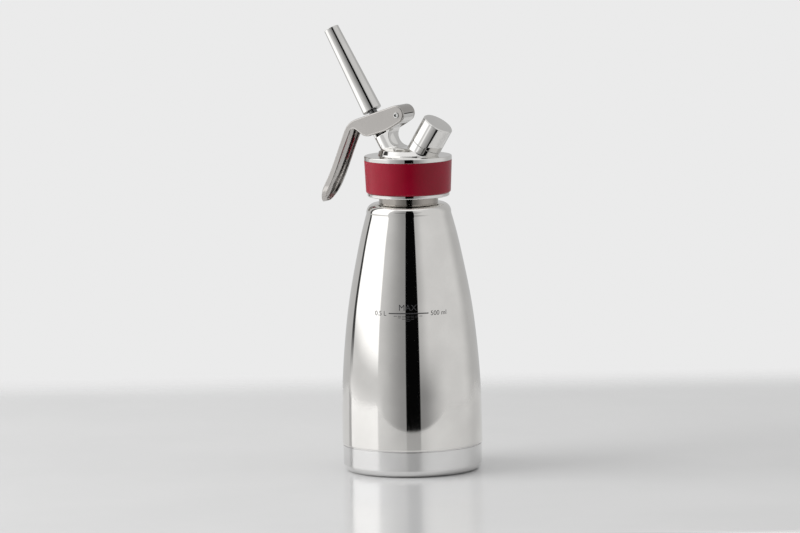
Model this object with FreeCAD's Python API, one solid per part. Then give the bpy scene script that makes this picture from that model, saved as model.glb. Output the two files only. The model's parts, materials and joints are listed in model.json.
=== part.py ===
"""Half-litre whipped cream dispenser: double-walled flask, screwed head, lever valve and capped charger port.

Units are millimetres and +Z is up. The origin is on the flask's axis, at the foot that it stands on.
The lever and nozzle lean towards -X, the charger port towards +X, and the XZ plane is the plane of symmetry.
"""
import FreeCAD
import Part
import math
import os

from FreeCAD import Placement, Rotation, Vector

# ---------------------------------------------------------------- driving dimensions
SHEET = 0.8              # steel sheet of the flask
FIT = 0.02               # gap between pieces that are pressed or screwed together for good
RUNNING = 0.05           # radial gap of a pin or spindle that moves in its bore
FACE_GAP = 0.1           # gap between flat faces of pieces that come apart

# flask
SHELL_R = 49.6           # widest radius, just above the base cup
SHELL_BOTTOM_Z = 18.8
SHELL_OUTLINE = [(49.5, 35.0), (48.75, 63.0), (46.6, 92.0), (43.1, 120.5), (37.8, 149.0), (33.1, 170.4)]
SHOULDER_START = (29.9, 182.2)
SHOULDER_MIDDLE = (28.6, 186.9)
SHOULDER_END = (25.4, 189.2)
SHOULDER_TOP_Z = 189.7
JACKET_GAP = 3.7         # vacuum between the two walls
FLASK_FLOOR_Z = 24.5
FLASK_CORNER_R = 9.0
FLASK_SHOULDER = [(22.6, 182.4), (19.6, 185.2)]
MOUTH_R = 18.2
MOUTH_Z = 214.0
NECK_PIPE_R = 19.0
NECK_R = 20.9            # root of the neck's thread
NECK_RING_BOTTOM_Z = 187.6
LIP = 0.8

# base
CUP_R = 49.0
CUP_TOP_Z = 18.2
CUP_WALL = 0.9
CUP_CORNER_R = 5.0
FOOT_INNER_R = 33.0
FOOT_RECESS = 2.2
COLLAR_TOP_Z = 20.9
PLATE_Z = 21.5           # underside of the plate that closes the jacket
PLATE_RIM_Z = 25.5
SEAL_BEAD_R = 4.0
SEAL_BEAD_H = 1.2
GETTER_R = 9.0
GETTER_H = 1.0

# head
HEAD_TOP_Z = 223.0
HEAD_RIM_R = 30.95
HEAD_RIM_H = 3.1
HEAD_RIM_ROUND = 0.8
HEAD_CEILING_Z = 216.5
GRIP_SEAT_R = 27.3
GRIP_BOTTOM_Z = 196.7
GRIP_BOTTOM_R = 29.9
GRIP_ROUND = 1.4
HEAD_BOTTOM_Z = 194.2
HEAD_LOWER_R = 28.9
HEAD_BORE_R = 22.7       # root of the head's thread
HEAD_THREAD_CREST_R = 21.4
NECK_THREAD_CREST_R = 22.2
NECK_PITCH = 4.0
NECK_THREAD_Z = 201.0
NECK_THREAD_TURNS = 1.75
HEAD_THREAD_Z = 199.0    # half a pitch from the neck's thread, so that the ridges mesh
HEAD_THREAD_TURNS = 1.5
GASKET_INNER_R = 17.6
GASKET_OUTER_R = 22.3
GASKET_TAB_R = 16.3
GASKET_TAB_W = 5.0

# raised plinth on the head's top: half length, half width and height above the top
PLINTH_X = -0.5
PLINTH_RINGS = [(22.4, 17.5, -0.8), (22.0, 16.6, 0.7), (21.4, 14.0, 3.4), (20.9, 11.0, 5.0), (20.6, 9.6, 6.6)]
PLINTH_CROWN = (-3.0, 228.9)     # highest line of its arched top
PLINTH_CROWN_R = 52.0

# spout axis: through the flask's axis at SPOUT_Z, leaning SPOUT_TILT towards -X; heights "s" run along it
SPOUT_Z = 203.8
SPOUT_TILT = -29.6
SPOUT_R = 7.25
SPOUT_TOP = 38.0
SPOUT_LIP_TOP = 42.6     # lip in front of the spindle's collar
SPOUT_LIP_INNER_R = 6.2
SPOUT_LIP_HALF_W = 5.4
VALVE_BOSS_R = 5.8
VALVE_SEAT = -1.0
VALVE_CHAMBER_R = 4.4
VALVE_CHAMBER_TOP = 9.0
SPRING_BORE_R = 4.7
SPRING_BORE_BOTTOM = 31.0
SPINDLE_R = 3.0
SPINDLE_BORE_R = 1.7
SPINDLE_BORE_BOTTOM = 1.5
SPINDLE_PORT_R = 1.3
SPINDLE_PORT_S = 4.0
SPINDLE_TOP = 65.4
STEM_R = 2.0
STEM_BOTTOM = -8.4
COLLAR_R = 5.8
COLLAR_S = 41.7
COLLAR_H = 1.8
SPINDLE_THREAD_CREST_R = 3.8
SPINDLE_THREAD_S = 60.0
SPINDLE_THREAD_TURNS = 2.25
NOZZLE_PITCH = 2.0
O_RING_S = [13.0, 25.0]
O_RING_DEPTH = 0.75
O_RING_H = 1.3
SEAL_R = 5.4
SEAL_H = 2.3
WASHER_R = 4.6
WASHER_H = 0.8
SEAL_NUT_ACROSS = 7.0
SEAL_NUT_H = 2.6
SPRING_MEAN_R = 3.95
SPRING_WIRE_R = 0.4
SPRING_TURNS = 4.4

# nozzle
NOZZLE_S = 57.5
NOZZLE_LENGTH = 65.8
NOZZLE_BASE_R = 7.05
NOZZLE_TIP_R = 5.4
NOZZLE_SOCKET_R = 4.1
NOZZLE_SOCKET_DEPTH = 9.0
NOZZLE_THREAD_CREST_R = 3.3
NOZZLE_THREAD_S = 59.0
NOZZLE_THREAD_TURNS = 2.0
NOZZLE_THROAT_R = 2.6
NOZZLE_MOUTH_R = 4.3
NOZZLE_MOUTH_LENGTH = 10.0
NOZZLE_SEAL_H = 0.9

# port axis: through the flask's axis at PORT_Z, leaning PORT_TILT towards +X; heights "t" run along it
PORT_Z = 207.0
PORT_TILT = 32.6
PORT_BOSS_R = 11.0
PORT_BOSS_TOP = 28.2
PORT_R = 8.6             # root of the port's thread
PORT_SEAT = 20.0
PORT_TOP = 43.0
PORT_STEM_R = 5.0
PORT_STEM_BOTTOM = 11.4
PORT_BORE_R = 4.6
PORT_BORE_BOTTOM = 28.5
PORT_MOUTH_R = 6.6
PORT_CHANNEL_R = 1.2
PORT_CREST_R = 9.45
PORT_THREAD_T = 36.0
PORT_THREAD_TURNS = 1.5
PIN_POCKET_R = 2.3
PIN_POCKET_BOTTOM = 24.0
FILTER_H = 1.2
PIERCE_BASE_TOP = 28.4
PIERCE_R = 1.0
PIERCE_TIP = 33.0
PIERCE_BORE_R = 0.45
CHARGER_GASKET_H = 1.6
CHECK_VALVE_R = 3.4
CHECK_VALVE_H = 1.1
CHECK_STALK_R = 1.1

# cap
CAP_R = 11.1
CAP_BOTTOM = 28.5
CAP_TOP = 46.8
CAP_CHAMFER = 0.8
CAP_BORE_R = 9.8
CAP_CEILING = 44.6
CAP_CREST_R = 8.95
CAP_THREAD_T = 34.5
CAP_THREAD_TURNS = 1.5
CAP_PITCH = 3.0
LINER_R = 9.4
LINER_H = 1.3

# lever, drawn in the XZ plane
PIVOT = (-4.0, 251.7)
PIN_R = 2.0
PIN_DOME = 0.45
LEVER_HALF_W = 9.0
LEVER_CHEEK = 1.6
LEVER_WEB = 1.8
KNUCKLE = (-4.8, 252.3)  # centre of the lever's round end
LEVER_KNUCKLE_R = 6.3
LEVER_ROOM_R = 4.5       # room in the lever round the post's head
LEVER_EDGE_ROUND = 0.9
LEVER_TOP_SLOPE = 18.7   # degrees below the horizontal, towards -X
LEVER_TOP_LENGTH = 31.5  # straight part of the top, from the knuckle to the elbow
ELBOW_MIDDLE = (-43.2, 244.5)
ELBOW_END = (-47.1, 238.5)
GRIP_OUTER = [(-55.2, 218.6), (-60.2, 207.3), (-65.0, 198.2), (-69.6, 186.9)]
GRIP_INNER = [(-65.6, 188.3), (-59.4, 198.9), (-53.5, 211.4), (-47.4, 226.5), (-43.2, 236.0), (-41.8, 239.2)]
CROTCH_MIDDLE = (-39.9, 240.8)
CROTCH_END = (-37.6, 240.4)
BULGE_START = (-33.6, 237.75)
BULGE_MIDDLE = (-29.4, 236.05)
BULGE_END = (-24.5, 236.95)
CHEEK_LOWER_MIDDLE = (-12.6, 240.75)
CHEEK_LOWER_ANGLE = -62.0    # where the cheek's lower line meets the knuckle
GRIP_TIP_Z = 187.1       # lowest point of the rounded tip
GRIP_TIP_LENGTH = 13.0   # part of the grip that narrows to the tip
SLIT_ANGLE = 15.0        # where the web ends behind the pivot
SLIT_GAP_ANGLE = 4.0     # and the post's step begins below it
LUG_R = 2.2
LUG_S = 46.0
LUG_REACH = 4.0          # lugs reach in from the cheeks by this much
WEB_SLOT_HALF_W = 4.9
WEB_SLOT_REACH = 5.6

# post that carries the pivot
POST_HALF_W = 7.1
POST_KNUCKLE_R = 5.5
POST_HEAD_R = 4.1
CRESCENT = (-3.4, 237.2)
CRESCENT_R = 7.9
POST_OUTLINE = [(-18.8, 236.8), (-13.4, 239.9), (-17.4, 246.6), (-4.0, 251.7), (-1.4, 246.87), (-9.5, 242.45),
                (-6.0, 237.2), (-3.5, 223.5), (-16.0, 223.5)]

TAU = 360.0
INSET_STEPS = 8          # points on a curve that runs beside another
X_AXIS = Vector(1, 0, 0)
Y_AXIS = Vector(0, 1, 0)
Z_AXIS = Vector(0, 0, 1)
ORIGIN = Vector(0, 0, 0)


# ---------------------------------------------------------------- drawing helpers
def flat(point):
    """A point (x, z) of the XZ plane."""
    return Vector(point[0], 0, point[1])


def polygon(points):
    """Closed face in the XZ plane from its corners."""
    corners = [flat(p) for p in points]
    return Part.Face(Part.makePolygon(corners + corners[:1]))


def spun(points):
    """Solid made by turning a closed outline (r, z) about Z."""
    return polygon(points).revolve(ORIGIN, Z_AXIS, TAU)


def spun_edges(edges):
    """Solid made by turning closed edges in the XZ plane about Z."""
    return Part.Face(Part.Wire(edges)).revolve(ORIGIN, Z_AXIS, TAU)


def line(start, end):
    """Straight edge in the XZ plane."""
    return Part.makeLine(flat(start), flat(end))


def arc(start, middle, end):
    """Arc edge in the XZ plane through three points."""
    return Part.Arc(flat(start), flat(middle), flat(end)).toShape()


def curve(points, start_way=None, end_way=None):
    """Smooth edge in the XZ plane through points, with its end directions if they are given."""
    spline = Part.BSplineCurve()
    places = [flat(p) for p in points]
    if start_way and end_way:
        spline.interpolate(Points=places, InitialTangent=flat(start_way), FinalTangent=flat(end_way))
    else:
        spline.interpolate(Points=places)
    return spline.toShape()


def tube(r_outer, r_inner, bottom, top):
    """Plain ring or disc about Z."""
    ring = Part.makeCylinder(r_outer, top - bottom, Vector(0, 0, bottom))
    if r_inner > 0:
        ring = ring.cut(Part.makeCylinder(r_inner, top - bottom + 2, Vector(0, 0, bottom - 1)))
    return ring


def cone(r_bottom, r_top, bottom, top):
    """Cone or cylinder about Z between two heights."""
    if abs(r_bottom - r_top) < 1e-9:
        return Part.makeCylinder(r_bottom, top - bottom, Vector(0, 0, bottom))
    return Part.makeCone(r_bottom, r_top, top - bottom, Vector(0, 0, bottom))


def one_solid(shape):
    """The single solid of a boolean's result."""
    if len(shape.Solids) != 1:
        raise ValueError("expected one solid, got %d" % len(shape.Solids))
    return shape.Solids[0]


def thread(root_r, crest_r, bottom, pitch, turns):
    """Helical ridge about Z that stands out from root_r to crest_r, inwards or outwards."""
    depth = crest_r - root_r
    embed = math.copysign(0.25, depth)
    foot = 0.27 * pitch
    crest = 0.13 * pitch
    helix = Part.makeHelix(pitch, pitch * turns, root_r)
    corners = [
        Vector(root_r - embed, 0, -foot),
        Vector(crest_r, 0, -crest),
        Vector(crest_r, 0, crest),
        Vector(root_r - embed, 0, foot),
    ]
    section = Part.makePolygon(corners + corners[:1])
    ridge = Part.Wire(helix).makePipeShell([section], True, True)
    ridge.translate(Vector(0, 0, bottom))
    return ridge


def moved_to(shape, height, tilt):
    """A shape drawn about Z, put on the axis that leaves the flask's axis at a height and leans by tilt."""
    axis = Placement(Vector(0, 0, height), Rotation(Y_AXIS, tilt))
    placed = shape.copy()
    placed.Placement = axis.multiply(shape.Placement)
    return placed


def on_spout(shape):
    """A shape drawn about Z, put on the spout's axis."""
    return moved_to(shape, SPOUT_Z, SPOUT_TILT)


def on_port(shape):
    """A shape drawn about Z, put on the charger port's axis."""
    return moved_to(shape, PORT_Z, PORT_TILT)


def beside(edge, inset):
    """Edge of the XZ plane that follows another at a distance, on the right of its way."""
    places = []
    ways = []
    for step in range(INSET_STEPS + 1):
        at = edge.FirstParameter + (edge.LastParameter - edge.FirstParameter) * step / INSET_STEPS
        way = edge.tangentAt(at)
        places.append(edge.valueAt(at) + Vector(-way.z, 0, way.x) * inset)
        ways.append(way)
    spline = Part.BSplineCurve()
    spline.interpolate(Points=places, InitialTangent=ways[0], FinalTangent=ways[-1])
    return spline.toShape()


def across(face, half_width):
    """A face of the XZ plane, made a solid from -half_width to half_width in Y."""
    slab = face.copy()
    slab.translate(Vector(0, -half_width, 0))
    return slab.extrude(Vector(0, 2 * half_width, 0))


def pivot_cylinder(radius, half_width):
    """Cylinder about the lever's pivot."""
    return Part.makeCylinder(radius, 2 * half_width, Vector(PIVOT[0], -half_width, PIVOT[1]), Y_AXIS)


def around(centre, radius, degrees):
    """Point (x, z) on a circle in the XZ plane; 0 degrees is +X and 90 is up."""
    angle = math.radians(degrees)
    return (centre[0] + radius * math.cos(angle), centre[1] + radius * math.sin(angle))


# ---------------------------------------------------------------- flask
def outer_shell():
    """Tapered outer wall of the flask, from the seam above the base to the neck."""
    outer = [(SHELL_R, SHELL_BOTTOM_Z)] + SHELL_OUTLINE + [SHOULDER_START]
    inner = [(r - SHEET, z) for r, z in outer]
    inner_middle = (SHOULDER_MIDDLE[0] - 0.7 * SHEET, SHOULDER_MIDDLE[1] - 0.7 * SHEET)
    inner_end = (SHOULDER_END[0] - 0.2 * SHEET, SHOULDER_END[1] - SHEET)
    hole = NECK_R + FIT
    return spun_edges([
        curve(outer),
        arc(SHOULDER_START, SHOULDER_MIDDLE, SHOULDER_END),
        line(SHOULDER_END, (hole, SHOULDER_TOP_Z)),
        line((hole, SHOULDER_TOP_Z), (hole, SHOULDER_TOP_Z - SHEET)),
        line((hole, SHOULDER_TOP_Z - SHEET), inner_end),
        arc(inner_end, inner_middle, inner[-1]),
        curve(inner[::-1]),
        line(inner[0], outer[0]),
    ])


def flask_wall(inset):
    """Edges of one face of the inner flask, from its floor's middle to the foot of its neck."""
    shift = SHEET + JACKET_GAP + inset
    side = [(r - shift, z) for r, z in SHELL_OUTLINE]
    floor_z = FLASK_FLOOR_Z + inset
    corner = (side[0][0] - 0.3 * FLASK_CORNER_R, floor_z + 0.3 * FLASK_CORNER_R)
    floor_end = (side[0][0] - FLASK_CORNER_R, floor_z)
    shoulder = [(r - inset, z - 0.4 * inset) for r, z in FLASK_SHOULDER]
    neck_foot = (NECK_PIPE_R - inset, FLASK_SHOULDER[-1][1] + 1.5)
    return [
        line((0, floor_z), floor_end),
        arc(floor_end, corner, side[0]),
        curve(side + shoulder + [neck_foot]),
    ], neck_foot


def inner_flask():
    """Inner vessel that holds the cream, with its neck pipe and the flat lip of its mouth."""
    outer_edges, outer_foot = flask_wall(0)
    inner_edges, inner_foot = flask_wall(SHEET)
    lip_z = MOUTH_Z - LIP
    edges = outer_edges + [
        line(outer_foot, (NECK_PIPE_R, lip_z)),
        line((NECK_PIPE_R, lip_z), (NECK_R, lip_z)),
        line((NECK_R, lip_z), (NECK_R, MOUTH_Z)),
        line((NECK_R, MOUTH_Z), (MOUTH_R, MOUTH_Z)),
        line((MOUTH_R, MOUTH_Z), inner_foot),
    ]
    floor_join = line((0, FLASK_FLOOR_Z + SHEET), (0, FLASK_FLOOR_Z))
    return spun_edges(edges + inner_edges[::-1] + [floor_join])


def neck_ring():
    """Threaded sleeve welded round the neck pipe."""
    sleeve = tube(NECK_R, NECK_PIPE_R + FIT, NECK_RING_BOTTOM_Z, MOUTH_Z - LIP)
    ridge = thread(NECK_R, NECK_THREAD_CREST_R, NECK_THREAD_Z, NECK_PITCH, NECK_THREAD_TURNS)
    return one_solid(sleeve.fuse(ridge))


def jacket_bottom():
    """Plate that closes the vacuum jacket, with a welded rim."""
    rim_r = SHELL_R - SHEET - FACE_GAP
    return spun([
        (0, PLATE_Z),
        (rim_r, PLATE_Z),
        (rim_r, PLATE_RIM_Z),
        (rim_r - SHEET, PLATE_RIM_Z),
        (rim_r - SHEET, PLATE_Z + SHEET),
        (0, PLATE_Z + SHEET),
    ])


def vacuum_seal():
    """Bead that seals the hole through which the jacket was pumped out."""
    return cone(SEAL_BEAD_R * 0.6, SEAL_BEAD_R, PLATE_Z - SEAL_BEAD_H, PLATE_Z - FIT)


def getter_disc():
    """Getter tablet on the jacket's bottom plate."""
    return tube(GETTER_R, 0, PLATE_Z + SHEET + FIT, PLATE_Z + SHEET + GETTER_H)


def base_cup():
    """Cup under the flask, with a ring foot and a collar that plugs into the outer shell."""
    collar_r = SHELL_R - SHEET - FACE_GAP
    inner_r = CUP_R - CUP_WALL
    bend = CUP_CORNER_R * (1 - math.sqrt(0.5))
    foot_r = CUP_R - CUP_CORNER_R
    inner_bend = (CUP_CORNER_R - CUP_WALL) * (1 - math.sqrt(0.5))
    recess_r = FOOT_INNER_R - FOOT_RECESS
    return spun_edges([
        line((0, FOOT_RECESS), (recess_r, FOOT_RECESS)),
        line((recess_r, FOOT_RECESS), (FOOT_INNER_R, 0)),
        line((FOOT_INNER_R, 0), (foot_r, 0)),
        arc((foot_r, 0), (CUP_R - bend, bend), (CUP_R, CUP_CORNER_R)),
        line((CUP_R, CUP_CORNER_R), (CUP_R, CUP_TOP_Z)),
        line((CUP_R, CUP_TOP_Z), (collar_r, CUP_TOP_Z)),
        line((collar_r, CUP_TOP_Z), (collar_r, COLLAR_TOP_Z)),
        line((collar_r, COLLAR_TOP_Z), (collar_r - CUP_WALL, COLLAR_TOP_Z)),
        line((collar_r - CUP_WALL, COLLAR_TOP_Z), (inner_r - CUP_WALL, CUP_CORNER_R)),
        arc((inner_r - CUP_WALL, CUP_CORNER_R), (inner_r - CUP_WALL - inner_bend, CUP_WALL + inner_bend),
            (foot_r - CUP_WALL, CUP_WALL)),
        line((foot_r - CUP_WALL, CUP_WALL), (FOOT_INNER_R + CUP_WALL, CUP_WALL)),
        line((FOOT_INNER_R + CUP_WALL, CUP_WALL), (recess_r, FOOT_RECESS + CUP_WALL)),
        line((recess_r, FOOT_RECESS + CUP_WALL), (0, FOOT_RECESS + CUP_WALL)),
        line((0, FOOT_RECESS + CUP_WALL), (0, FOOT_RECESS)),
    ])


# ---------------------------------------------------------------- head
def head_gasket():
    """Flat silicone ring between the flask's mouth and the head, with a tab to pull it out by."""
    bottom = MOUTH_Z + FACE_GAP
    top = HEAD_CEILING_Z - FACE_GAP
    ring = tube(GASKET_OUTER_R, GASKET_INNER_R, bottom, top)
    reach = GASKET_INNER_R + 0.5 - GASKET_TAB_R
    tab = Part.makeBox(GASKET_TAB_W, reach, top - bottom, Vector(-GASKET_TAB_W / 2, GASKET_TAB_R, bottom))
    return one_solid(ring.fuse(tab))


def head_shell():
    """Turned part of the head: top plate, skirt behind the grip band and lower rim."""
    rim_bottom = HEAD_TOP_Z - HEAD_RIM_H
    turn = HEAD_RIM_ROUND
    bend = turn * (1 - math.sqrt(0.5))
    lower_round = 1.0
    lower_bend = lower_round * (1 - math.sqrt(0.5))
    return spun_edges([
        line((0, HEAD_CEILING_Z), (0, HEAD_TOP_Z)),
        line((0, HEAD_TOP_Z), (HEAD_RIM_R - turn, HEAD_TOP_Z)),
        arc((HEAD_RIM_R - turn, HEAD_TOP_Z), (HEAD_RIM_R - bend, HEAD_TOP_Z - bend),
            (HEAD_RIM_R, HEAD_TOP_Z - turn)),
        line((HEAD_RIM_R, HEAD_TOP_Z - turn), (HEAD_RIM_R, rim_bottom)),
        line((HEAD_RIM_R, rim_bottom), (GRIP_SEAT_R, rim_bottom)),
        line((GRIP_SEAT_R, rim_bottom), (GRIP_SEAT_R, GRIP_BOTTOM_Z)),
        line((GRIP_SEAT_R, GRIP_BOTTOM_Z), (HEAD_LOWER_R, GRIP_BOTTOM_Z)),
        line((HEAD_LOWER_R, GRIP_BOTTOM_Z), (HEAD_LOWER_R, HEAD_BOTTOM_Z + lower_round)),
        arc((HEAD_LOWER_R, HEAD_BOTTOM_Z + lower_round),
            (HEAD_LOWER_R - lower_bend, HEAD_BOTTOM_Z + lower_bend),
            (HEAD_LOWER_R - lower_round, HEAD_BOTTOM_Z)),
        line((HEAD_LOWER_R - lower_round, HEAD_BOTTOM_Z), (HEAD_BORE_R + 1.0, HEAD_BOTTOM_Z)),
        line((HEAD_BORE_R + 1.0, HEAD_BOTTOM_Z), (HEAD_BORE_R, HEAD_BOTTOM_Z + 1.0)),
        line((HEAD_BORE_R, HEAD_BOTTOM_Z + 1.0), (HEAD_BORE_R, HEAD_CEILING_Z)),
        line((HEAD_BORE_R, HEAD_CEILING_Z), (0, HEAD_CEILING_Z)),
    ])


def oval(half_length, half_width, height):
    """Oval wire on the head's top."""
    ring = Part.Ellipse(Vector(PLINTH_X, 0, HEAD_TOP_Z + height), half_length, half_width)
    return Part.Wire([ring.toShape()])


def plinth():
    """Raised oval under the spout and the port, with sloping sides and an arched top."""
    block = Part.makeLoft([oval(*ring) for ring in PLINTH_RINGS], True, False)
    reach = 2 * PLINTH_RINGS[0][1]
    arch_start = Vector(PLINTH_CROWN[0], -reach, PLINTH_CROWN[1] - PLINTH_CROWN_R)
    return block.common(Part.makeCylinder(PLINTH_CROWN_R, 2 * reach, arch_start, Y_AXIS))


def spout_boss():
    """Round boss that guides the valve spindle, with a lip in front of the spindle's collar."""
    body = cone(SPOUT_R, SPOUT_R, 12.0, SPOUT_TOP)
    lip = tube(SPOUT_R, SPOUT_LIP_INNER_R, SPOUT_TOP - 1, SPOUT_LIP_TOP)
    corner = Vector(-2 * SPOUT_R, -SPOUT_LIP_HALF_W, SPOUT_TOP - 2)
    front = Part.makeBox(2 * SPOUT_R, 2 * SPOUT_LIP_HALF_W, 10, corner)
    return on_spout(body.fuse(lip.common(front)))


def pivot_post():
    """Post behind the spout that carries the lever's pivot, with its crescent-shaped back."""
    body = across(polygon(POST_OUTLINE), POST_HALF_W)
    reach = 3 * LEVER_KNUCKLE_R
    knuckle = pivot_cylinder(POST_KNUCKLE_R, POST_HALF_W)
    under_web = polygon([
        PIVOT,
        around(PIVOT, reach, SLIT_ANGLE - SLIT_GAP_ANGLE),
        around(PIVOT, reach * 1.5, 60),
        around(PIVOT, reach * 1.5, 130),
        around(PIVOT, reach, 195),
    ])
    knuckle = knuckle.cut(across(under_web, POST_HALF_W + 1))
    knuckle = knuckle.fuse(pivot_cylinder(POST_HEAD_R, POST_HALF_W))
    crescent_start = Vector(CRESCENT[0], -2 * POST_HALF_W, CRESCENT[1])
    crescent = Part.makeCylinder(CRESCENT_R, 4 * POST_HALF_W, crescent_start, Y_AXIS)
    return body.cut(crescent).fuse(knuckle)


def port_boss():
    """Round boss that the charger port is screwed into."""
    return on_port(cone(PORT_BOSS_R, PORT_BOSS_R, 8.0, PORT_BOSS_TOP))


def valve_boss():
    """Boss under the head that ends in the valve's seat."""
    return on_spout(cone(VALVE_BOSS_R, VALVE_BOSS_R, VALVE_SEAT, 17.0))


def head_bores():
    """Every hole through the head, as one tool shape."""
    chamber = cone(VALVE_CHAMBER_R, VALVE_CHAMBER_R, VALVE_SEAT - 1, VALVE_CHAMBER_TOP)
    guide = cone(SPINDLE_R + RUNNING, SPINDLE_R + RUNNING, VALVE_CHAMBER_TOP - 1, SPOUT_TOP)
    spring_room = cone(SPRING_BORE_R, SPRING_BORE_R, SPRING_BORE_BOTTOM, SPOUT_TOP + 12)
    port_room = cone(PORT_R, PORT_R, PORT_SEAT, PORT_BOSS_TOP + 1)
    port_hole = cone(PORT_STEM_R, PORT_STEM_R, 5.0, PORT_SEAT + 1)
    pin_hole = pivot_cylinder(PIN_R + FIT, POST_HALF_W + 1)
    spout_holes = [on_spout(guide), on_spout(spring_room)]
    port_holes = [on_port(port_room), on_port(port_hole)]
    return on_spout(chamber).fuse(spout_holes + port_holes + [pin_hole])


def head_body():
    """Cast and turned head: plate, skirt, thread, plinth, spout boss, pivot post and port boss in one."""
    above = Part.makeBox(120, 120, 100, Vector(-60, -60, HEAD_CEILING_Z + 3))
    bosses = plinth().fuse([spout_boss(), pivot_post(), port_boss()]).common(above)
    below = Part.makeBox(120, 120, 30, Vector(-60, -60, HEAD_CEILING_Z - 28))
    seat = valve_boss().common(below)
    ridge = thread(HEAD_BORE_R, HEAD_THREAD_CREST_R, HEAD_THREAD_Z, NECK_PITCH, HEAD_THREAD_TURNS)
    body = head_shell().fuse([bosses, seat])
    body = body.cut(head_bores()).removeSplitter()
    return one_solid(body.fuse(ridge))


def grip_band():
    """Silicone band round the head, slightly tapered, with a rounded lower edge."""
    top = HEAD_TOP_Z - HEAD_RIM_H - FIT
    bottom = GRIP_BOTTOM_Z + FIT
    inner = GRIP_SEAT_R + FIT
    bend = GRIP_ROUND * (1 - math.sqrt(0.5))
    return spun_edges([
        line((inner, bottom), (inner, top)),
        line((inner, top), (HEAD_RIM_R - 0.3, top)),
        line((HEAD_RIM_R - 0.3, top), (HEAD_RIM_R, top - 0.3)),
        line((HEAD_RIM_R, top - 0.3), (GRIP_BOTTOM_R, bottom + GRIP_ROUND)),
        arc((GRIP_BOTTOM_R, bottom + GRIP_ROUND), (GRIP_BOTTOM_R - bend, bottom + bend),
            (GRIP_BOTTOM_R - GRIP_ROUND, bottom)),
        line((GRIP_BOTTOM_R - GRIP_ROUND, bottom), (inner, bottom)),
    ])


def lever_pin():
    """Pivot pin with domed ends, fixed in the post."""
    half = LEVER_HALF_W
    pin = spun_edges([
        line((0, -half), (PIN_R, -half)),
        line((PIN_R, -half), (PIN_R, half)),
        line((PIN_R, half), (0, half)),
        line((0, half), (0, -half)),
    ])
    dome_r = (PIN_R * PIN_R + PIN_DOME * PIN_DOME) / (2 * PIN_DOME)
    for side in (1, -1):
        ball = Part.makeSphere(dome_r, Vector(0, 0, side * (half + PIN_DOME - dome_r)))
        start = half if side > 0 else -half - PIN_DOME
        pin = pin.fuse(ball.common(cone(PIN_R, PIN_R, start, start + PIN_DOME)))
    pin.Placement = Placement(Vector(PIVOT[0], 0, PIVOT[1]), Rotation(X_AXIS, 90))
    return one_solid(pin)


# ---------------------------------------------------------------- valve
def valve_spindle():
    """Hollow spindle: stem for the seal, guided shank with ring grooves, collar and threaded top."""
    groove_r = SPINDLE_R - O_RING_DEPTH
    body = cone(STEM_R, STEM_R, STEM_BOTTOM, VALVE_SEAT)
    body = body.fuse(cone(SPINDLE_R, SPINDLE_R, VALVE_SEAT - FACE_GAP, SPINDLE_TOP))
    body = body.fuse(cone(COLLAR_R, COLLAR_R, COLLAR_S, COLLAR_S + COLLAR_H))
    for s in O_RING_S:
        body = body.cut(tube(SPINDLE_R + 1, groove_r, s, s + O_RING_H))
    body = body.cut(cone(SPINDLE_BORE_R, SPINDLE_BORE_R, SPINDLE_BORE_BOTTOM, SPINDLE_TOP + 1))
    reach = 2 * SPINDLE_R
    along_x = Part.makeCylinder(SPINDLE_PORT_R, 2 * reach, Vector(-reach, 0, SPINDLE_PORT_S), X_AXIS)
    along_y = Part.makeCylinder(SPINDLE_PORT_R, 2 * reach, Vector(0, -reach, SPINDLE_PORT_S), Y_AXIS)
    body = body.cut(along_x.fuse(along_y))
    ridge = thread(SPINDLE_R, SPINDLE_THREAD_CREST_R, SPINDLE_THREAD_S, NOZZLE_PITCH,
                   SPINDLE_THREAD_TURNS)
    return on_spout(one_solid(body.fuse(ridge)))


def spindle_o_rings():
    """The spindle's two sealing rings, pressed to the width of their grooves."""
    rings = []
    for s in O_RING_S:
        inner = SPINDLE_R - O_RING_DEPTH + FIT
        ring = tube(SPINDLE_R + 0.5 * RUNNING, inner, s + FIT, s + O_RING_H - FIT)
        rings.append(on_spout(ring))
    return Part.makeCompound(rings)


def valve_seal():
    """Rubber disc that closes against the seat from below."""
    top = VALVE_SEAT - FACE_GAP
    corner = 0.6
    return on_spout(spun([
        (STEM_R + FIT, top),
        (SEAL_R - corner, top),
        (SEAL_R, top - corner),
        (SEAL_R, top - SEAL_H),
        (STEM_R + FIT, top - SEAL_H),
    ]))


def seal_washer():
    """Steel washer behind the valve's seal."""
    top = VALVE_SEAT - FACE_GAP - SEAL_H - FIT
    return on_spout(tube(WASHER_R, STEM_R + FIT, top - WASHER_H, top))


def seal_nut():
    """Hexagon nut that holds the seal on the spindle."""
    top = VALVE_SEAT - FACE_GAP - SEAL_H - WASHER_H - 2 * FIT
    corner_r = SEAL_NUT_ACROSS / math.sqrt(3)
    corners = []
    for i in range(6):
        angle = math.radians(60 * i)
        corners.append(Vector(corner_r * math.cos(angle), corner_r * math.sin(angle), top - SEAL_NUT_H))
    prism = Part.Face(Part.makePolygon(corners + corners[:1])).extrude(Vector(0, 0, SEAL_NUT_H))
    return on_spout(prism.cut(cone(STEM_R + FIT, STEM_R + FIT, top - SEAL_NUT_H - 1, top + 1)))


def valve_spring():
    """Compression spring between the spout boss and the spindle's collar."""
    bottom = SPRING_BORE_BOTTOM + SPRING_WIRE_R + FACE_GAP
    top = COLLAR_S - SPRING_WIRE_R - FACE_GAP
    helix = Part.makeHelix((top - bottom) / SPRING_TURNS, top - bottom, SPRING_MEAN_R)
    ring = Part.Circle(Vector(SPRING_MEAN_R, 0, 0), Y_AXIS, SPRING_WIRE_R)
    coil = Part.Wire(helix).makePipeShell([Part.Wire([ring.toShape()])], True, True)
    coil.translate(Vector(0, 0, bottom))
    return on_spout(coil)


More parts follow.
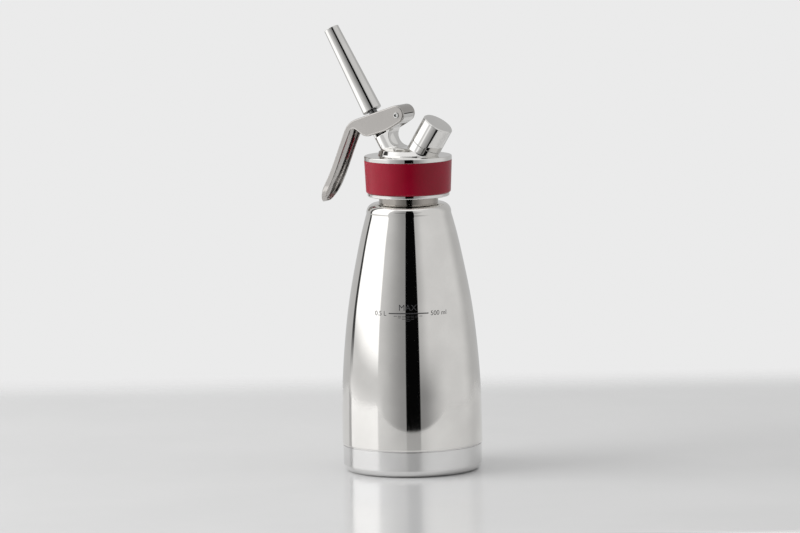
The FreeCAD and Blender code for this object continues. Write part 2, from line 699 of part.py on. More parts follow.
def nozzle_seal():
    """Soft washer between the spindle's end and the nozzle."""
    bottom = SPINDLE_TOP + FACE_GAP
    return on_spout(tube(SPINDLE_R + 0.6, SPINDLE_BORE_R, bottom, bottom + NOZZLE_SEAL_H))


def nozzle():
    """Long tapered nozzle with a threaded socket and a conical bore."""
    top = NOZZLE_S + NOZZLE_LENGTH
    socket_top = NOZZLE_S + NOZZLE_SOCKET_DEPTH
    edge = 0.3
    body = spun([
        (0, NOZZLE_S),
        (NOZZLE_BASE_R - edge, NOZZLE_S),
        (NOZZLE_BASE_R, NOZZLE_S + edge),
        (NOZZLE_TIP_R, top - edge),
        (NOZZLE_TIP_R - edge, top),
        (0, top),
    ])
    body = body.cut(cone(NOZZLE_SOCKET_R, NOZZLE_SOCKET_R, NOZZLE_S - 1, socket_top))
    mouth_bottom = top - NOZZLE_MOUTH_LENGTH
    body = body.cut(cone(NOZZLE_THROAT_R, NOZZLE_MOUTH_R, socket_top, mouth_bottom))
    body = body.cut(cone(NOZZLE_MOUTH_R, NOZZLE_MOUTH_R, mouth_bottom, top + 1))
    ridge = thread(NOZZLE_SOCKET_R, NOZZLE_THREAD_CREST_R, NOZZLE_THREAD_S, NOZZLE_PITCH,
                   NOZZLE_THREAD_TURNS)
    return on_spout(one_solid(body.fuse(ridge)))


# ---------------------------------------------------------------- charger port
def charger_port():
    """Screwed-in port: stem through the head, threaded tube and the socket for the charger's neck."""
    stem_r = PORT_STEM_R - FIT
    seat_r = PORT_R - FIT
    body = spun([
        (PORT_CHANNEL_R, PORT_STEM_BOTTOM),
        (stem_r, PORT_STEM_BOTTOM),
        (stem_r, PORT_SEAT + FIT),
        (seat_r, PORT_SEAT + FIT),
        (seat_r, PORT_TOP - 0.5),
        (seat_r - 0.5, PORT_TOP),
        (PORT_MOUTH_R, PORT_TOP),
        (PORT_BORE_R, PORT_TOP - (PORT_MOUTH_R - PORT_BORE_R)),
        (PORT_BORE_R, PORT_BORE_BOTTOM),
        (PIN_POCKET_R, PORT_BORE_BOTTOM),
        (PIN_POCKET_R, PIN_POCKET_BOTTOM),
        (PORT_CHANNEL_R, PIN_POCKET_BOTTOM),
    ])
    ridge = thread(seat_r, PORT_CREST_R, PORT_THREAD_T, CAP_PITCH, PORT_THREAD_TURNS)
    return on_port(one_solid(body.fuse(ridge)))


def gas_filter():
    """Sintered disc under the piercing pin."""
    bottom = PIN_POCKET_BOTTOM + FIT
    return on_port(tube(PIN_POCKET_R - FIT, 0, bottom, bottom + FILTER_H))


def piercing_pin():
    """Hollow pin that opens the charger, on a wider base."""
    bottom = PIN_POCKET_BOTTOM + FILTER_H + 2 * FIT
    taper = 2.0
    return on_port(spun([
        (PIERCE_BORE_R, bottom),
        (PIN_POCKET_R - FIT, bottom),
        (PIN_POCKET_R - FIT, PIERCE_BASE_TOP),
        (PIERCE_R, PIERCE_BASE_TOP + 0.6),
        (PIERCE_R, PIERCE_TIP - taper),
        (PIERCE_BORE_R + 0.1, PIERCE_TIP),
        (PIERCE_BORE_R, PIERCE_TIP),
    ]))


def charger_gasket():
    """Silicone ring that the charger's neck presses on."""
    bottom = PORT_BORE_BOTTOM + 0.6
    return on_port(tube(PORT_BORE_R - FIT, PIERCE_R + 0.5, bottom, bottom + CHARGER_GASKET_H))


def check_valve():
    """Umbrella valve that lets gas into the flask and nothing back."""
    top = PORT_STEM_BOTTOM - FIT
    stalk = cone(CHECK_STALK_R, CHECK_STALK_R, top - 0.5, top + 3.0)
    disc = cone(CHECK_VALVE_R - 0.5, CHECK_VALVE_R, top - CHECK_VALVE_H, top)
    return on_port(one_solid(disc.fuse(stalk)))


def cap_liner():
    """Silicone disc in the cap that closes the port."""
    top = CAP_CEILING - FACE_GAP
    return on_port(tube(LINER_R, 0, top - LINER_H, top))


def port_cap():
    """Screw cap over the charger port, with a chamfered rim round its flat top."""
    edge = 0.3
    body = spun([
        (CAP_BORE_R, CAP_BOTTOM),
        (CAP_R - edge, CAP_BOTTOM),
        (CAP_R, CAP_BOTTOM + edge),
        (CAP_R, CAP_TOP - CAP_CHAMFER),
        (CAP_R - CAP_CHAMFER, CAP_TOP),
        (0, CAP_TOP),
        (0, CAP_CEILING),
        (CAP_BORE_R, CAP_CEILING),
    ])
    ridge = thread(CAP_BORE_R, CAP_CREST_R, CAP_THREAD_T, CAP_PITCH, CAP_THREAD_TURNS)
    return on_port(one_solid(body.fuse(ridge)))


# ---------------------------------------------------------------- lever
def lever_outer_edges():
    """Top of the cheeks, elbow and outer line of the grip, from the knuckle to the tip."""
    slope = math.radians(LEVER_TOP_SLOPE)
    top = around(KNUCKLE, LEVER_KNUCKLE_R, 90 + LEVER_TOP_SLOPE)
    top_way = (-math.cos(slope), -math.sin(slope))
    elbow_start = (top[0] + LEVER_TOP_LENGTH * top_way[0], top[1] + LEVER_TOP_LENGTH * top_way[1])
    grip_way = (GRIP_OUTER[0][0] - ELBOW_END[0], GRIP_OUTER[0][1] - ELBOW_END[1])
    end_way = (GRIP_OUTER[-1][0] - GRIP_OUTER[-2][0], GRIP_OUTER[-1][1] - GRIP_OUTER[-2][1])
    return [
        line(top, elbow_start),
        curve([elbow_start, ELBOW_MIDDLE, ELBOW_END], top_way, grip_way),
        curve([ELBOW_END] + GRIP_OUTER, grip_way, end_way),
    ]


def lever_side():
    """Side view of the lever: round knuckle, long cheek, elbow and grip."""
    top = around(KNUCKLE, LEVER_KNUCKLE_R, 90 + LEVER_TOP_SLOPE)
    back = around(KNUCKLE, LEVER_KNUCKLE_R, 20)
    low = around(KNUCKLE, LEVER_KNUCKLE_R, CHEEK_LOWER_ANGLE)
    inner = [
        line(GRIP_OUTER[-1], GRIP_INNER[0]),
        curve(GRIP_INNER),
        arc(GRIP_INNER[-1], CROTCH_MIDDLE, CROTCH_END),
        line(CROTCH_END, BULGE_START),
        arc(BULGE_START, BULGE_MIDDLE, BULGE_END),
        curve([BULGE_END, CHEEK_LOWER_MIDDLE, low]),
        arc(low, back, top),
    ]
    return Part.Face(Part.Wire(lever_outer_edges() + inner))


def tip_shape(inset):
    """Solid that rounds the grip's tip as seen from the front, inset from the lever's outline."""
    half = LEVER_HALF_W - inset
    centre_z = GRIP_TIP_Z + GRIP_TIP_LENGTH
    length = GRIP_TIP_LENGTH - LEVER_WEB * inset / LEVER_CHEEK
    centre = Vector(0, 0, centre_z)
    oval_end = Part.Ellipse(Vector(0, 0, centre_z + length), Vector(0, half, centre_z), centre)
    round_edge = Part.ArcOfEllipse(oval_end, 0.5 * math.pi, 1.5 * math.pi).toShape()
    start = round_edge.valueAt(round_edge.FirstParameter)
    end = round_edge.valueAt(round_edge.LastParameter)
    rise = Vector(0, 0, 100)
    outline = Part.Wire([
        round_edge,
        Part.makeLine(end, end + rise),
        Part.makeLine(end + rise, start + rise),
        Part.makeLine(start + rise, start),
    ])
    face = Part.Face(outline)
    face.translate(Vector(-100, 0, 0))
    return face.extrude(Vector(200, 0, 0))


def lever_hollow():
    """Space inside the lever: the channel of the grip, the room between the cheeks and the open back."""
    web_inside = [beside(edge, LEVER_WEB) for edge in lever_outer_edges()]
    far = LEVER_HALF_W * 3
    first = web_inside[0].valueAt(web_inside[0].FirstParameter)
    tip = web_inside[-1].valueAt(web_inside[-1].LastParameter)
    low = (tip.x, tip.z)
    below = GRIP_TIP_Z - far
    back = around(PIVOT, far, SLIT_ANGLE)
    room_back = around(PIVOT, LEVER_ROOM_R, SLIT_ANGLE)
    room_top = around(PIVOT, LEVER_ROOM_R, 90 + LEVER_TOP_SLOPE)
    closing = [
        line(low, (low[0] - 2, below)),
        line((low[0] - 2, below), (back[0], below)),
        line((back[0], below), back),
        line(back, room_back),
        arc(room_back, around(PIVOT, LEVER_ROOM_R, 60), room_top),
        line(room_top, (first.x, first.z)),
    ]
    room = across(Part.Face(Part.Wire(web_inside + closing)), LEVER_HALF_W - LEVER_CHEEK)
    return room.common(tip_shape(LEVER_CHEEK))


def lever_lugs():
    """Round lugs inside the cheeks that press the spindle's collar down."""
    inner = LEVER_HALF_W - LEVER_CHEEK
    lug_start = Vector(0, inner - LUG_REACH, LUG_S)
    lug = Part.makeCylinder(LUG_R, LUG_REACH + LEVER_CHEEK / 2, lug_start, Y_AXIS)
    other = lug.mirror(ORIGIN, Y_AXIS)
    return [on_spout(lug), on_spout(other)]


def lever_cuts():
    """Holes in the lever: the slot round the spindle and the bore of the pivot pin."""
    corner = Vector(-WEB_SLOT_REACH, -WEB_SLOT_HALF_W, LUG_S)
    slot = Part.makeBox(2 * WEB_SLOT_REACH, 2 * WEB_SLOT_HALF_W, 20, corner)
    return [on_spout(slot), pivot_cylinder(PIN_R + RUNNING, LEVER_HALF_W + 1)]


def lever_rims(body):
    """Edges of the lever's two outer sides, without the pivot's bore."""
    rims = []
    for edge in body.Edges:
        box = edge.BoundBox
        on_side = abs(box.YMax - box.YMin) < 1e-6 and abs(abs(box.YMax) - LEVER_HALF_W) < 1e-6
        bore = edge.Curve.TypeId == "Part::GeomCircle" and edge.Curve.Radius < PIN_R + 1
        if on_side and not bore:
            rims.append(edge)
    return rims


def lever():
    """Cast lever: an upside-down channel with two cheeks, an elbow and a hollow grip."""
    block = across(lever_side(), LEVER_HALF_W).common(tip_shape(0))
    body = block.cut(lever_hollow()).cut(lever_cuts()).fuse(lever_lugs())
    body = one_solid(body)
    return one_solid(body.makeFillet(LEVER_EDGE_ROUND, lever_rims(body)))


PARTS = {
    "outer_shell": outer_shell,
    "inner_flask": inner_flask,
    "neck_ring": neck_ring,
    "jacket_bottom": jacket_bottom,
    "vacuum_seal": vacuum_seal,
    "getter_disc": getter_disc,
    "base_cup": base_cup,
    "head_gasket": head_gasket,
    "head_body": head_body,
    "grip_band": grip_band,
    "lever_pin": lever_pin,
    "valve_spindle": valve_spindle,
    "spindle_o_rings": spindle_o_rings,
    "valve_seal": valve_seal,
    "seal_washer": seal_washer,
    "seal_nut": seal_nut,
    "valve_spring": valve_spring,
    "nozzle_seal": nozzle_seal,
    "nozzle": nozzle,
    "charger_port": charger_port,
    "gas_filter": gas_filter,
    "piercing_pin": piercing_pin,
    "charger_gasket": charger_gasket,
    "check_valve": check_valve,
    "cap_liner": cap_liner,
    "port_cap": port_cap,
    "lever": lever,
}

os.makedirs("parts", exist_ok=True)
for name, make in PARTS.items():
    shape = make()
    shape.exportStep("parts/%s.step" % name)
    print("%-16s solids %d valid %s volume %.0f" % (name, len(shape.Solids), shape.isValid(), shape.Volume))
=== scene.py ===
"""Looks of a half-litre whipped cream dispenser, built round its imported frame.

Sizes are in millimetres and meshes are made in metres, in the frame's own axes. +Z goes up the flask, the
lever and the nozzle lean towards -X, and the charger port leans towards +X.
"""

import json
import logging
import math
from dataclasses import dataclass
from enum import Enum
from typing import Callable, Mapping, Optional, Sequence, Union

import bmesh
import bpy
import numpy as np
from mathutils import Matrix, Vector


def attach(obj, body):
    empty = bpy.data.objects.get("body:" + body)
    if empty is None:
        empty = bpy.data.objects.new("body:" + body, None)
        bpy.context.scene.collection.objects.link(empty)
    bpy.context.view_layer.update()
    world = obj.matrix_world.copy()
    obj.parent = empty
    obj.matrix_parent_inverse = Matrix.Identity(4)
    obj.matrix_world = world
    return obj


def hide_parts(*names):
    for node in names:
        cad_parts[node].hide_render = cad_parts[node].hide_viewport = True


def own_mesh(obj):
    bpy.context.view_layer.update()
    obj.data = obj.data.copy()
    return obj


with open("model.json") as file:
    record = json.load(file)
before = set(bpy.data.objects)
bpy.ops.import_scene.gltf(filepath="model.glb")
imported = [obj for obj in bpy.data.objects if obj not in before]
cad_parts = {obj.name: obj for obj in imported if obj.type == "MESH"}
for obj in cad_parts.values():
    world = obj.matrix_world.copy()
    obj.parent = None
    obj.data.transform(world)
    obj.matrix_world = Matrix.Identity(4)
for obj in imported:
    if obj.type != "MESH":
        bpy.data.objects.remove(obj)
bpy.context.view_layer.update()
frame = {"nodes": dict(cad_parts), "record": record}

log = logging.getLogger("dispenser")

MM = 0.001
TINY = 1e-12
BEYOND = 30.0  # further than any casting reaches from the middle of a cut
OPEN_TOP = 50.0  # higher than either boss reaches along its axis

Colour = tuple[float, float, float]
Point2 = tuple[float, float]
Point3 = tuple[float, float, float]


# ---------------------------------------------------------------- axes of the object
@dataclass(frozen=True)
class Axis:
    """A line in the plane of symmetry that leaves the flask's axis at a height and leans towards +X.

    Args:
        height: where it leaves the flask's axis, in millimetres.
        lean: its lean from the vertical, in degrees.
    """

    height: float
    lean: float

    @property
    def way(self) -> np.ndarray:
        """Unit vector up the axis."""
        lean = math.radians(self.lean)
        return np.array([math.sin(lean), 0.0, math.cos(lean)])

    @property
    def foot(self) -> np.ndarray:
        """Point where the axis leaves the flask's axis."""
        return np.array([0.0, 0.0, self.height])

    def at(self, along: float) -> np.ndarray:
        """Point at a distance up the axis."""
        return self.foot + self.way * along

    def matrix(self) -> Matrix:
        """Matrix that puts a shape drawn about Z on this axis, in metres."""
        turn = Matrix.Rotation(math.radians(self.lean), 4, "Y")
        return Matrix.Translation(Vector((0, 0, self.height * MM))) @ turn

    def polar(self, points: np.ndarray) -> np.ndarray:
        """Turns places into distances from the axis and along it.

        Args:
            points: the places, one per row.

        Returns:
            Distance from the axis and height along it, for each place.
        """
        offset = points - self.foot
        along = offset @ self.way
        across = np.linalg.norm(offset - along[:, None] * self.way, axis=1)
        return np.stack([across, along], axis=1)

    def ahead(self, points: np.ndarray) -> np.ndarray:
        """Distance of each point from the axis within the plane of symmetry, positive towards +X."""
        return (points - self.foot) @ np.array([self.way[2], 0.0, -self.way[0]])


UPRIGHT = Axis(0.0, 0.0)
SPOUT = Axis(203.8, -29.6)
PORT = Axis(207.0, 32.6)
PIVOT = (-4.0, 251.7)


# ---------------------------------------------------------------- outlines
def around(centre: Point2, radius: float, degrees: float) -> Point2:
    """Point on a circle of the XZ plane, where 0 degrees is +X and 90 is up."""
    angle = math.radians(degrees)
    return (centre[0] + radius * math.cos(angle), centre[1] + radius * math.sin(angle))


def spline(points: Sequence[Point2], steps: int = 10, start: Optional[Point2] = None,
           end: Optional[Point2] = None) -> np.ndarray:
    """Smooth cubic line through points.

    Args:
        points: the points it passes through.
        steps: number of short runs between two of them.
        start: direction at the first point, or None where it is free.
        end: direction at the last point, or None where it is free.

    Returns:
        The points of the line, one per row.
    """
    knots = np.array(points, float)
    runs = np.linalg.norm(np.diff(knots, axis=0), axis=1)
    count = len(knots)
    system = np.zeros((count, count))
    right = np.zeros((count, 2))
    for i in range(1, count - 1):
        before, after = runs[i - 1], runs[i]
        system[i, i - 1:i + 2] = [after, 2 * (before + after), before]
        slope_before = (knots[i] - knots[i - 1]) / before
        slope_after = (knots[i + 1] - knots[i]) / after
        right[i] = 3 * (after * slope_before + before * slope_after)
    for row, near, way, chord in ((0, 1, start, knots[1] - knots[0]), (-1, -2, end, knots[-1] - knots[-2])):
        if way is None:
            system[row, row] = 2.0
            system[row, near] = 1.0
            right[row] = 3 * chord / np.linalg.norm(chord)
        else:
            system[row, row] = 1.0
            right[row] = np.array(way) / np.linalg.norm(way)
    slopes = np.linalg.solve(system, right)
    line = [knots[:1]]
    share = np.linspace(0, 1, steps + 1)[1:, None]
    for i, run in enumerate(runs):
        ends = (2 * share ** 3 - 3 * share ** 2 + 1) * knots[i]
        ends = ends + (3 * share ** 2 - 2 * share ** 3) * knots[i + 1]
        pulls = (share ** 3 - 2 * share ** 2 + share) * slopes[i] + (share ** 3 - share ** 2) * slopes[i + 1]
        line.append(ends + run * pulls)
    return np.concatenate(line)


def arc_through(start: Point2, middle: Point2, end: Point2, steps: int = 8) -> np.ndarray:
    """Circular arc through three points.

    Args:
        start: its first point.
        middle: a point that it passes through.
        end: its last point.
        steps: number of short runs.

    Returns:
        The points of the arc, one per row, both ends included.
    """
    a, b, c = (complex(*p) for p in (start, middle, end))
    turn = (c - a) / (b - a)
    centre = a + (b - a) * (turn - abs(turn) ** 2) / (2j * turn.imag)
    radius = abs(a - centre)
    first = math.atan2((a - centre).imag, (a - centre).real)
    sweep = math.atan2(((c - centre) / (a - centre)).imag, ((c - centre) / (a - centre)).real)
    if turn.imag * sweep < 0:
        sweep -= math.copysign(2 * math.pi, sweep)
    angles = first + sweep * np.linspace(0, 1, steps + 1)
    return np.stack([centre.real + radius * np.cos(angles), centre.imag + radius * np.sin(angles)], axis=1)


def rounded(corners: Sequence[tuple[float, float, float]], steps: int = 5) -> np.ndarray:
    """Closed outline whose corners are arcs.

    Args:
        corners: x, y and radius of each corner.
        steps: number of short runs in each arc.

    Returns:
        The points of the outline, one per row.
    """
    places = np.array([c[:2] for c in corners], float)
    outline = []
    for i, (x, y, radius) in enumerate(corners):
        here = places[i]
        if radius <= 0:
            outline.append(here)
            continue
        back = places[i - 1] - here
        ahead = places[(i + 1) % len(places)] - here
        back /= np.linalg.norm(back)
        ahead /= np.linalg.norm(ahead)
        half = math.acos(float(np.clip(back @ ahead, -1, 1))) / 2
        reach = radius / math.tan(half)
        centre = here + (back + ahead) / np.linalg.norm(back + ahead) * radius / math.sin(half)
        first = here + back * reach - centre
        last = here + ahead * reach - centre
        spread = math.acos(float(np.clip(first @ last / radius ** 2, -1, 1)))
        for share in np.linspace(0, 1, steps + 1):
            outline.append(centre + (math.sin((1 - share) * spread) * first
                                     + math.sin(share * spread) * last) / math.sin(spread))
    return np.array(outline)


def offset_line(line: np.ndarray, distance: float) -> np.ndarray:
    """Line that follows another at a distance.

    Args:
        line: the points of the other line, one per row.
        distance: how far the new line lies to the left of its way.

    Returns:
        The points of the new line.
    """
    ways = np.gradient(line, axis=0)
    ways /= np.linalg.norm(ways, axis=1)[:, None]
    return line + distance * np.stack([-ways[:, 1], ways[:, 0]], axis=1)


# ---------------------------------------------------------------- pieces
def piece_from(name: str, points: np.ndarray, faces: Sequence[Sequence[int]],
               normals: Optional[np.ndarray] = None) -> bpy.types.Object:
    """Makes a smooth-shaded mesh object.

    Args:
        name: the object's name.
        points: its vertices in metres.
        faces: the vertex numbers of each face.
        normals: the surface's own direction at each vertex, if it is known.

    Returns:
        The new object, linked to the scene.
    """
    mesh = bpy.data.meshes.new(name)
    mesh.from_pydata([tuple(p) for p in points], [], [tuple(f) for f in faces])
    mesh.update()
    mesh.shade_smooth()
    if normals is not None:
        mesh.normals_split_custom_set_from_vertices([tuple(n) for n in normals])
    made = bpy.data.objects.new(name, mesh)
    bpy.context.scene.collection.objects.link(made)
    return made


def turned(name: str, outline: np.ndarray, axis: Axis = UPRIGHT, sides: int = 160) -> bpy.types.Object:
    """Turns a closed outline about an axis.

    Args:
        name: the object's name.
        outline: radius and height of each point, anticlockwise with the radius to the right.
        axis: the axis that it is turned about.
        sides: number of steps round the axis.

    Returns:
        The turned piece, shaded by the outline's own directions.
    """
    ahead = np.roll(outline, -1, axis=0) - outline
    back = np.roll(ahead, 1, axis=0)
    tangent = np.abs(ahead).sum(1)[:, None] * ahead + np.abs(back).sum(1)[:, None] * back
    tangent /= np.maximum(np.linalg.norm(tangent, axis=1), TINY)[:, None]
    side_r, side_z = tangent[:, 1], -tangent[:, 0]
    on_axis = outline[:, 0] < TINY
    matrix = axis.matrix()
    turn = matrix.to_3x3()
    points, normals, first = [], [], []
    angles = np.linspace(0, 2 * math.pi, sides, endpoint=False)
    for i, (radius, height) in enumerate(outline):
        first.append(len(points))
        if on_axis[i]:
            points.append(matrix @ Vector((0, 0, height * MM)))
            normals.append(turn @ Vector((0, 0, math.copysign(1, side_z[i]))))
            continue
        for angle in angles:
            c, s = math.cos(angle), math.sin(angle)
            points.append(matrix @ Vector((radius * c * MM, radius * s * MM, height * MM)))
            normals.append(turn @ Vector((side_r[i] * c, side_r[i] * s, side_z[i])))
    faces = []
    for i in range(len(outline)):
        j = (i + 1) % len(outline)
        if on_axis[i] and on_axis[j]:
            continue
        for k in range(sides):
            n = (k + 1) % sides
            low = [first[i]] if on_axis[i] else [first[i] + k, first[i] + n]
            high = [first[j]] if on_axis[j] else [first[j] + n, first[j] + k]
            faces.append(low + high)
    return piece_from(name, np.array(points), faces, np.array(normals))


# ---------------------------------------------------------------- cast forms
class Form:
    """A solid given by its signed distance in millimetres, negative inside, which joins others softly."""

    def __init__(self, distance: Callable[[np.ndarray], np.ndarray]) -> None:
        """Keeps the function that gives the distance at each row of points."""
        self.distance = distance

    def joined(self, other: "Form", fillet: float) -> "Form":
        """Joins this solid and another.

        Args:
            other: the other solid.
            fillet: radius of the fillet between them.

        Returns:
            Both solids as one.
        """
        def distance(points: np.ndarray) -> np.ndarray:
            """Distance from the two solids at each point."""
            mine, theirs = self.distance(points), other.distance(points)
            near = np.hypot(np.maximum(fillet - mine, 0), np.maximum(fillet - theirs, 0))
            return np.maximum(fillet, np.minimum(mine, theirs)) - near
        return Form(distance)

    def within(self, other: "Form", edge: float) -> "Form":
        """Cuts this solid to the inside of another.

        Args:
            other: the other solid.
            edge: radius of the new edges.

        Returns:
            The part that lies inside the other.
        """
        def distance(points: np.ndarray) -> np.ndarray:
            """Distance from the two solids at each point."""
            mine, theirs = self.distance(points), other.distance(points)
            near = np.hypot(np.maximum(edge + mine, 0), np.maximum(edge + theirs, 0))
            return np.minimum(-edge, np.maximum(mine, theirs)) + near
        return Form(distance)

    def without(self, other: "Form", edge: float) -> "Form":
        """The part of this solid outside another, with its new edges rounded by that radius."""
        return self.within(Form(lambda points: -other.distance(points)), edge)

    def slope(self, points: np.ndarray, reach: float = 0.01) -> np.ndarray:
        """Gradient of the distance.

        Args:
            points: the places, one per row.
            reach: how far to each side the distance is taken.

        Returns:
            The gradient at each place.
        """
        slopes = np.empty_like(points)
        for k in range(3):
            step = np.zeros(3)
            step[k] = reach
            slopes[:, k] = (self.distance(points + step) - self.distance(points - step)) / (2 * reach)
        return slopes


def outline_distance(points: np.ndarray, outline: np.ndarray) -> np.ndarray:
    """Distance of plane points from a closed outline.

    Args:
        points: the points, one per row.
        outline: the corners of the outline.

    Returns:
        The distance of each point, negative inside.
    """
    best = np.full(len(points), np.inf)
    inside = np.zeros(len(points), bool)
    for start, end in zip(outline, np.roll(outline, -1, axis=0)):
        run = end - start
        length = run @ run
        if length < TINY:
            continue
        offset = points - start
        share = np.clip(offset @ run / length, 0, 1)
        gap = offset - share[:, None] * run
        best = np.minimum(best, (gap * gap).sum(1))
        spans = (start[1] > points[:, 1]) != (end[1] > points[:, 1])
        rise = run[1] if abs(run[1]) > TINY else TINY
        crossing = offset[:, 0] < run[0] * offset[:, 1] / rise
        inside ^= spans & crossing
    return np.where(inside, -1.0, 1.0) * np.sqrt(best)


def rod(axis: Axis, outline: Sequence[Point2]) -> Form:
    """Solid turned about an axis from a closed outline of radius and height."""
    corners = np.array(outline, float)
    return Form(lambda points: outline_distance(axis.polar(points), corners))


def cylinder(axis: Axis, radius: float, bottom: float, top: float) -> Form:
    """Plain cylinder between two heights along an axis."""
    return rod(axis, [(0, bottom), (radius, bottom), (radius, top), (0, top)])


def side_plate(outline: Union[np.ndarray, Sequence[Point2]], half_width: float, edge: float) -> Form:
    """Flat plate that lies in the plane of symmetry.

    Args:
        outline: its corners in the XZ plane.
        half_width: how far it reaches to each side along Y.
        edge: radius of its edges.

    Returns:
        The plate.
    """
    corners = np.array(outline, float)
    shape = Form(lambda points: outline_distance(points[:, [0, 2]], corners))
    return shape.within(Form(lambda points: np.abs(points[:, 1]) - half_width), edge)


def side_disc(centre: Point2, radius: float, half_width: float, edge: float) -> Form:
    """Disc whose axis lies along Y."""
    shape = Form(lambda points: np.hypot(points[:, 0] - centre[0], points[:, 2] - centre[1]) - radius)
    return shape.within(Form(lambda points: np.abs(points[:, 1]) - half_width), edge)


def above(height: float) -> Form:
    """Everything above a height."""
    return Form(lambda points: height - points[:, 2])


class Net:
    """Turns a form into a mesh of even quads that lie on its surface."""

    BLOCK = 8  # cells along a side of the blocks that are searched first
    BATCH = 200000
    FAR = 1e3
    NEAR = 1.3  # blocks that lie this close to the surface, in sides, are sampled in full
    MOVES = 4
    LEAST_SLOPE = 0.05
    LEAST_NORMAL = 1e-9

    def __init__(self, form: Form, low: Point3, high: Point3, step: float) -> None:
        """Samples the form near its surface.

        Args:
            form: the solid.
            low: lowest corner of the space searched, in millimetres.
            high: highest corner of that space.
            step: size of the quads.
        """
        self.form = form
        self.low = np.array(low, float)
        self.step = step
        blocks = np.ceil((np.array(high) - self.low) / (step * self.BLOCK)).astype(int)
        self.shape = blocks * self.BLOCK + 1
        self.values = self._sample(blocks)

    def _distances(self, points: np.ndarray) -> np.ndarray:
        """The form's distance at many points, a batch at a time."""
        parts = [self.form.distance(points[i:i + self.BATCH]) for i in range(0, len(points), self.BATCH)]
        return np.concatenate(parts)

    def _sample(self, blocks: np.ndarray) -> np.ndarray:
        """Samples the form on the grid.

        Args:
            blocks: number of blocks along each axis.

        Returns:
            Distances, exact near the surface and of the right sign elsewhere.
        """
        size = self.step * self.BLOCK
        places = np.stack(np.meshgrid(*[np.arange(n) for n in blocks], indexing="ij"), axis=-1).reshape(-1, 3)
        centres = self._distances(self.low + (places + 0.5) * size)
        values = np.full(self.shape, self.FAR)
        span = np.arange(self.BLOCK + 1)
        cell = np.stack(np.meshgrid(span, span, span, indexing="ij"), axis=-1).reshape(-1, 3)
        near = np.abs(centres) < size * self.NEAR
        for place in places[(centres < 0) & ~near] * self.BLOCK:
            x, y, z = place
            values[x:x + self.BLOCK + 1, y:y + self.BLOCK + 1, z:z + self.BLOCK + 1] = -self.FAR
        index = (places[near][:, None, :] * self.BLOCK + cell[None]).reshape(-1, 3)
        values[index[:, 0], index[:, 1], index[:, 2]] = self._distances(self.low + index * self.step)
        return values

    def _cells(self) -> tuple[np.ndarray, np.ndarray]:
        """Cells that the surface crosses, and the middle of its crossings in each."""
        inside = self.values < 0
        corners = [(i, j, k) for i in (0, 1) for j in (0, 1) for k in (0, 1)]
        wide, deep, high = self.shape - 1
        count = sum(inside[i:wide + i, j:deep + j, k:high + k].astype(int) for i, j, k in corners)
        cells = np.argwhere((count > 0) & (count < len(corners)))
        total = np.zeros((len(cells), 3))
        hits = np.zeros(len(cells))
        for corner in corners:
            for k in range(3):
                if corner[k]:
                    continue
                a = cells + corner
                b = a.copy()
                b[:, k] += 1
                va = self.values[a[:, 0], a[:, 1], a[:, 2]]
                vb = self.values[b[:, 0], b[:, 1], b[:, 2]]
                crossed = (va < 0) != (vb < 0)
                share = np.where(crossed, va / np.where(crossed, va - vb, 1.0), 0.0)
                place = a.astype(float)
                place[:, k] += share
                total += place * crossed[:, None]
                hits += crossed
        return cells, self.low + total / hits[:, None] * self.step

    def _quads(self, cells: np.ndarray) -> np.ndarray:
        """Faces round each grid edge that the surface crosses.

        Args:
            cells: the cells that the surface crosses.

        Returns:
            The four cell numbers of each face.
        """
        number = np.full(self.shape, -1)
        number[cells[:, 0], cells[:, 1], cells[:, 2]] = np.arange(len(cells))
        inside = self.values < 0
        faces = []
        for k in range(3):
            ends = [slice(1, n - 1) for n in self.shape]
            starts = list(ends)
            starts[k] = slice(0, self.shape[k] - 1)
            ends[k] = slice(1, self.shape[k])
            out = inside[tuple(starts)] & ~inside[tuple(ends)]
            back = ~inside[tuple(starts)] & inside[tuple(ends)]
            u, v = (k + 1) % 3, (k + 2) % 3
            for crossed, order in ((out, 1), (back, -1)):
                edges = np.argwhere(crossed) + [1 if n != k else 0 for n in range(3)]
                ring = []
                for du, dv in ((1, 1), (0, 1), (0, 0), (1, 0)):
                    cell = edges.copy()
                    cell[:, u] -= du
                    cell[:, v] -= dv
                    ring.append(number[cell[:, 0], cell[:, 1], cell[:, 2]])
                faces.append(np.stack(ring, axis=1)[:, ::order])
        return np.concatenate(faces)

    def piece(self, name: str) -> bpy.types.Object:
        """Makes the mesh object.

        Args:
            name: the object's name.

        Returns:
            The object, with its points on the surface, shaded by the form's slope.
        """
        cells, points = self._cells()
        faces = self._quads(cells)
        for _ in range(self.MOVES):
            slope = self.form.slope(points)
            size = np.maximum((slope * slope).sum(1), self.LEAST_SLOPE)
            move = self.form.distance(points) / size
            points = points - np.clip(move, -self.step, self.step)[:, None] * slope
        slope = self.form.slope(points)
        normals = slope / np.maximum(np.linalg.norm(slope, axis=1), self.LEAST_NORMAL)[:, None]
        return piece_from(name, points * MM, faces.tolist(), normals)


